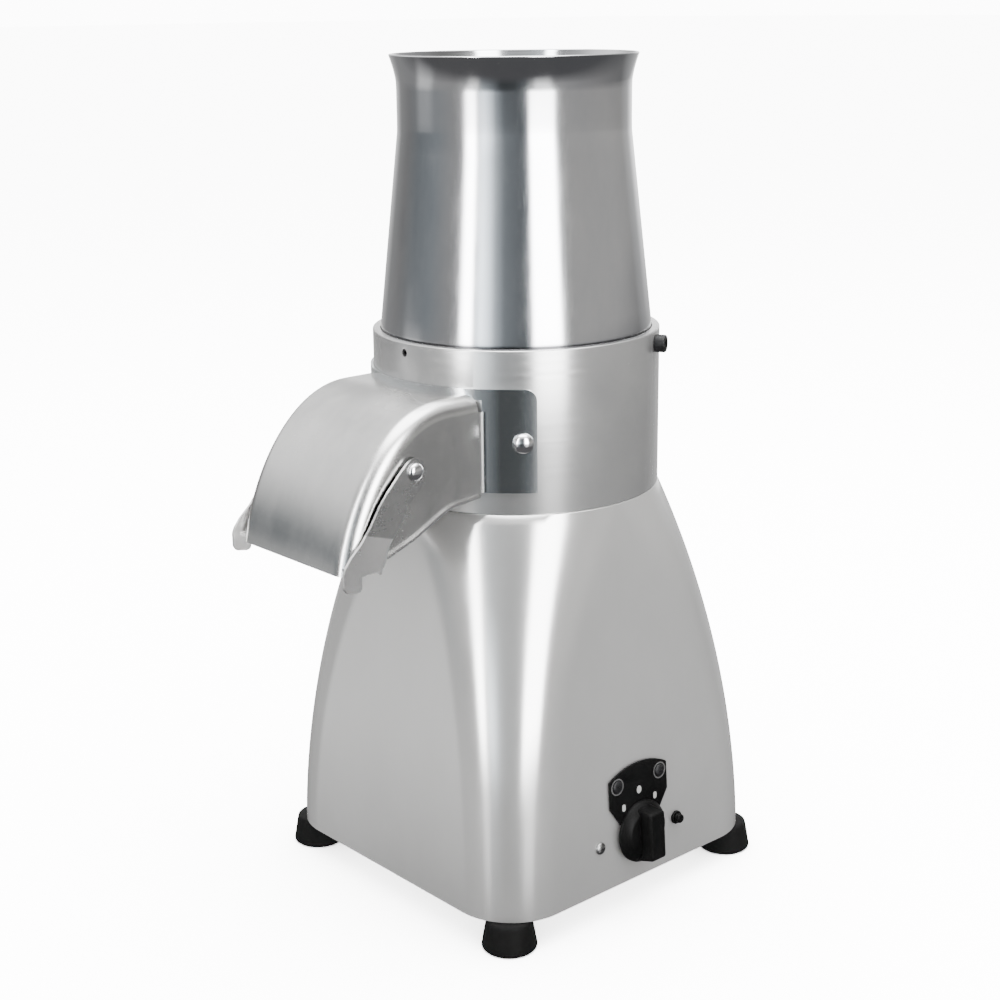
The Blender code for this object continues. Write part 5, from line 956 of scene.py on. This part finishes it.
def build_marks(front, up):
    """Plain pale marks on the plate that show the knob's places, and a worn ring round each screw."""
    proud = front - 0.12 * MM
    thick = 0.3 * MM
    oval = moved(rod(2.7 * MM, 0.0, thick), Matrix.Diagonal((0.85, 1.1, 1, 1)))
    marks = [moved(oval, to(0, 31.7 * MM, 0))]
    for side in (-1, 1):
        bar = arc((0, MM), 1.7 * MM, 0, 180, 10) + arc((0, -MM), 1.7 * MM, 180, 360, 10)
        marks.append(moved(extruded(bar, 0.0, thick), to(side * 16.2 * MM, 22.3 * MM, 0)))
    spot = to(KNOB_ACROSS, proud + thick, up)
    made = shape("plate_marks", moved(along_front(merged(marks)), spot))
    on_panel(made, LEGEND, "stand", "black_plastic")
    profile = in_mm(((5.2, 0.0), (6.3, 0.0), (6.3, 0.24), (6.1, 0.3), (5.4, 0.3), (5.2, 0.24)))
    rims = [along_front(turned(profile, 48), side * PLATE_SCREW_ACROSS, PLATE_SCREW_UP) for side in (-1, 1)]
    spot = to(KNOB_ACROSS, proud + 0.24 * MM, up)
    made = shape("plate_screw_rims", moved(merged(rims), spot))
    on_panel(made, WORN_RIM, "stand", "black_oxide")


def build_knob(up, seat):
    """The switch knob: a round skirt with a straight grip across it."""
    profile = [(0, 0), (22.9, 0), (23.3, 0.4), (23.3, 1.7), (22.9, 2.5), (17.6, 7.1), (16.8, 7.5), (0, 7.5)]
    skirt = along_front(turned([(r * MM, z * MM - seat) for r, z in profile], 96), 0.0, 0.0)
    root = seat - 1.8 * MM
    face = seat - 18 * MM
    outline = ((-21.8 * MM, root), (-17.8 * MM, face), (18 * MM, face), (20 * MM, root))
    grip = extruded([(y, z) for z, y in outline], -7.5 * MM, 7.5 * MM, "x")
    bmesh.ops.recalc_face_normals(grip, faces=grip.faces)
    edges = [e for e in grip.edges if all(v.co.y < root - MM for v in e.verts)
             or abs(e.verts[0].co.y - e.verts[1].co.y) > 5 * MM]
    bmesh.ops.bevel(grip, geom=edges, offset=2 * MM, segments=5, profile=0.5, affect="EDGES")
    bore = along_front(rod(4.3 * MM, -seat - MM, 6.0 * MM - seat), 0.0, 0.0)
    made = shape("selector_knob", skirt, [("UNION", grip), *cut(bore)], angle=35)
    made.data.transform(to(KNOB_ACROSS, 0.0, up))
    on_panel(made, PLASTIC, "knob", "black_plastic", "switch_knob")


for build in (build_stand, build_feet, build_chamber, build_hopper, build_chamber_screws, build_hood,
              build_flap, build_flap_pivots, build_controls):
    build()

# The solids that stay visible get the finish of their material slot
for node_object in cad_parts.values():
    for slot_entry in node_object.material_slots:
        old = slot_entry.material.name.split(".")[0] if slot_entry.material else ""
        slot_entry.material = SLOT_FINISH.get(old, CAST_METAL)


# Floor, light and camera

# The floor is lit up for the camera alone: neither the machine's metal nor its paint sees it, only the room
FLOOR_GAIN = 10.0
BACKDROP = 12.0


def card(name, corners, finish):
    """A flat stage piece."""
    work = bmesh.new()
    work.faces.new([work.verts.new(c) for c in corners])
    mesh = bpy.data.meshes.new(name)
    work.to_mesh(mesh)
    work.free()
    made = add(name, mesh)
    mesh.materials.append(finish)
    return made


def pale_floor():
    made, tree, shader = surface("floor_paint")
    tree.nodes.remove(shader)
    lit = tree.nodes.new("ShaderNodeBsdfDiffuse")
    grain = noise(tree, 60.0, (1, 1, 1), 3.0)
    tree.links.new(tint(tree, grain, (FLOOR_GAIN * 0.985,) * 3, (FLOOR_GAIN,) * 3), lit.inputs["Color"])
    tree.links.new(lit.outputs["BSDF"], tree.nodes["Material Output"].inputs["Surface"])
    return made


floor = card("studio_floor", ((-60, -60, 0), (60, -60, 0), (60, 60, 0), (-60, 60, 0)), pale_floor())
floor.visible_glossy = False
floor.visible_diffuse = False


def soft_light(name, place, target, size, power):
    """A wide lamp that lights paint and rubber but isn't mirrored."""
    light = bpy.data.lights.new(name, "AREA")
    light.shape = "RECTANGLE"
    light.size, light.size_y = size
    light.energy = power
    made = add(name, light)
    made.location = place
    made.rotation_euler = (Vector(target) - Vector(place)).to_track_quat("-Z", "Y").to_euler()
    made.visible_camera = False
    made.visible_glossy = False


soft_light("overhead", (0.2, -0.2, 2.6), (0, 0, 0), (3.0, 3.0), 40)

# Round the machine as its metal mirrors it, in three bands: bearing from the camera's side in degrees,
# brightness and tint. Tall soft boxes stand at the left and right of the camera and end above the floor,
# in a grey room that is white behind the machine, with the camera's own dark shape between them.
LOW_BAND = (
    (-180, 1.0, 0), (-145, 0.35, 0), (-112, 0.35, 0), (-104, 1.0, 0), (-92, 1.0, 0), (-84, 0.45, 0),
    (-60, 0.4, 0), (-48, 0.6, 0), (-44, 1.8, 0), (-38, 1.8, 0), (-34, 0.5, -1), (-24, 0.3, -1),
    (-14, 0.07, -1), (0, 0.09, -1), (10, 0.22, -1), (17, 0.9, 0), (21, 2.2, 0), (32, 2.2, 0),
    (38, 0.5, 0), (60, 0.4, 0), (82, 0.32, 0), (125, 0.22, 0), (145, 0.5, 0), (180, 1.2, 0))
MIDDLE_BAND = (
    (-180, 3.0, 0), (-163, 1.3, 0), (-145, 0.36, 0), (-125, 0.26, 0), (-104, 0.27, -1), (-80, 0.36, -1),
    (-60, 0.42, 0), (-50, 0.5, 0), (-45.5, 24.0, 0), (-39.5, 24.0, 0), (-37, 1.6, -1), (-31, 6.0, -1),
    (-26, 4.0, -1), (-19, 1.0, -1), (-11, 0.36, -1), (6, 0.22, -1), (12, 0.5, -1), (15, 24.0, 0),
    (36, 24.0, 0), (38.5, 1.4, 0), (45, 0.6, 1), (100, 0.58, 1), (125, 0.52, 1), (142, 0.8, 0),
    (160, 3.0, 0), (180, 3.6, 0))
HIGH_BAND = (
    (-180, 1.0, 0), (-120, 2.0, 0), (-92, 1.6, 0), (-75, 0.9, 0), (-55, 0.5, 0), (-48, 1.0, 0),
    (-44, 22.0, 0), (-38, 22.0, 0), (-34, 1.2, -1), (-20, 0.5, -1), (-6, 0.22, -1), (6, 0.28, -1),
    (13, 0.9, 0), (17, 24.0, 0), (37, 24.0, 0), (41, 0.9, 0), (55, 0.35, 1), (82, 0.3, 1),
    (120, 0.5, 0), (180, 1.0, 0))
BAND_RISES = ((-0.45, -0.27), (-0.13, -0.02), (0.07, 0.33))
DARK_GROUND = (0.12, 0.12, 0.125)
BRIGHTEST = 25.0
TINTS = {-1: (0.86, 0.94, 1.0), 0: (1.0, 1.0, 1.0), 1: (1.0, 0.985, 0.96)}
TOWARDS_CAMERA = (-0.656, -0.755, 0.0)
CAMERA_RIGHT = (0.755, -0.656, 0.0)
UP = (0.0, 0.0, 1.0)


def scaled(tree, colour, factor):
    made = tree.nodes.new("ShaderNodeVectorMath")
    made.operation = "SCALE"
    made.inputs["Scale"].default_value = factor
    tree.links.new(colour, made.inputs[0])
    return made.outputs["Vector"]


def band_light(tree, share, stops_of_band):
    """The colour of a band at a bearing, which runs from 0 to 1 round the machine."""
    ramp = tree.nodes.new("ShaderNodeValToRGB")
    stops = ramp.color_ramp.elements
    while len(stops) < len(stops_of_band):
        stops.new(0.5)
    for stop, (degrees, value, hue) in zip(stops, stops_of_band):
        stop.position = (degrees + 180) / 360
        stop.color = (*[value / BRIGHTEST * c for c in TINTS[hue]], 1.0)
    tree.links.new(share, ramp.inputs["Fac"])
    return scaled(tree, ramp.outputs["Color"], BRIGHTEST)


def studio_world():
    """The room: metal mirrors the bands, paint is lit evenly, and the camera sees a plain white backdrop."""
    world = bpy.data.worlds.new("studio")
    bpy.context.scene.world = world
    world.use_nodes = True
    tree = world.node_tree
    back = tree.nodes["Background"]
    coords = tree.nodes.new("ShaderNodeTexCoord")
    parts = []
    for axis in (TOWARDS_CAMERA, CAMERA_RIGHT, UP):
        dot = tree.nodes.new("ShaderNodeVectorMath")
        dot.operation = "DOT_PRODUCT"
        dot.inputs[1].default_value = axis
        tree.links.new(coords.outputs["Generated"], dot.inputs[0])
        parts.append(dot.outputs["Value"])
    towards, aside, rise = parts
    share = spread(tree, both(tree, aside, towards, "ARCTAN2"), 0.0, 1.0, -math.pi, math.pi)
    lights = [band_light(tree, share, band) for band in (LOW_BAND, MIDDLE_BAND, HIGH_BAND)]
    wall = DARK_GROUND
    for (begin, full), light in zip(BAND_RISES, lights):
        wall = blend(tree, spread(tree, rise, 0.0, 1.0, begin, full), wall, light)
    ceiling = blend(tree, spread(tree, rise, 0.0, 1.0, 0.8, 0.92), (1.9, 1.9, 1.9), (14.0, 14.0, 14.0))
    room_light = blend(tree, spread(tree, rise, 0.0, 1.0, 0.5, 0.75), wall, ceiling)
    path = tree.nodes.new("ShaderNodeLightPath")
    lit = blend(tree, path.outputs["Is Glossy Ray"], (1.1, 1.1, 1.1), room_light)
    seen = blend(tree, path.outputs["Is Camera Ray"], lit, (BACKDROP,) * 3)
    tree.links.new(seen, back.inputs["Color"])
    back.inputs["Strength"].default_value = 1.0


studio_world()

# The photograph's camera, fitted to the machine's edges in it
CAMERA_LENS = 62.66
CAMERA_PLACE = Vector((-0.84615, -0.93725, 0.64334))
CAMERA_TURN = math.radians(-41.478)
CAMERA_PITCH = math.radians(15.931)
CAMERA_ROLL = math.radians(-0.638)

camera_data = bpy.data.cameras.new("view")
camera_data.lens = CAMERA_LENS
camera_data.sensor_width = 36.0
camera_data.clip_start = 0.05
camera = add("view", camera_data)
forward = Vector((-math.sin(CAMERA_TURN) * math.cos(CAMERA_PITCH),
                  math.cos(CAMERA_TURN) * math.cos(CAMERA_PITCH), -math.sin(CAMERA_PITCH)))
level = Vector((math.cos(CAMERA_TURN), math.sin(CAMERA_TURN), 0.0))
upward = level.cross(forward)
rolled_right = level * math.cos(CAMERA_ROLL) + upward * math.sin(CAMERA_ROLL)
rolled_up = upward * math.cos(CAMERA_ROLL) - level * math.sin(CAMERA_ROLL)
view = Matrix((rolled_right, rolled_up, -forward)).transposed().to_4x4()
view.translation = AXIS + CAMERA_PLACE
camera.matrix_world = view
bpy.context.scene.camera = camera
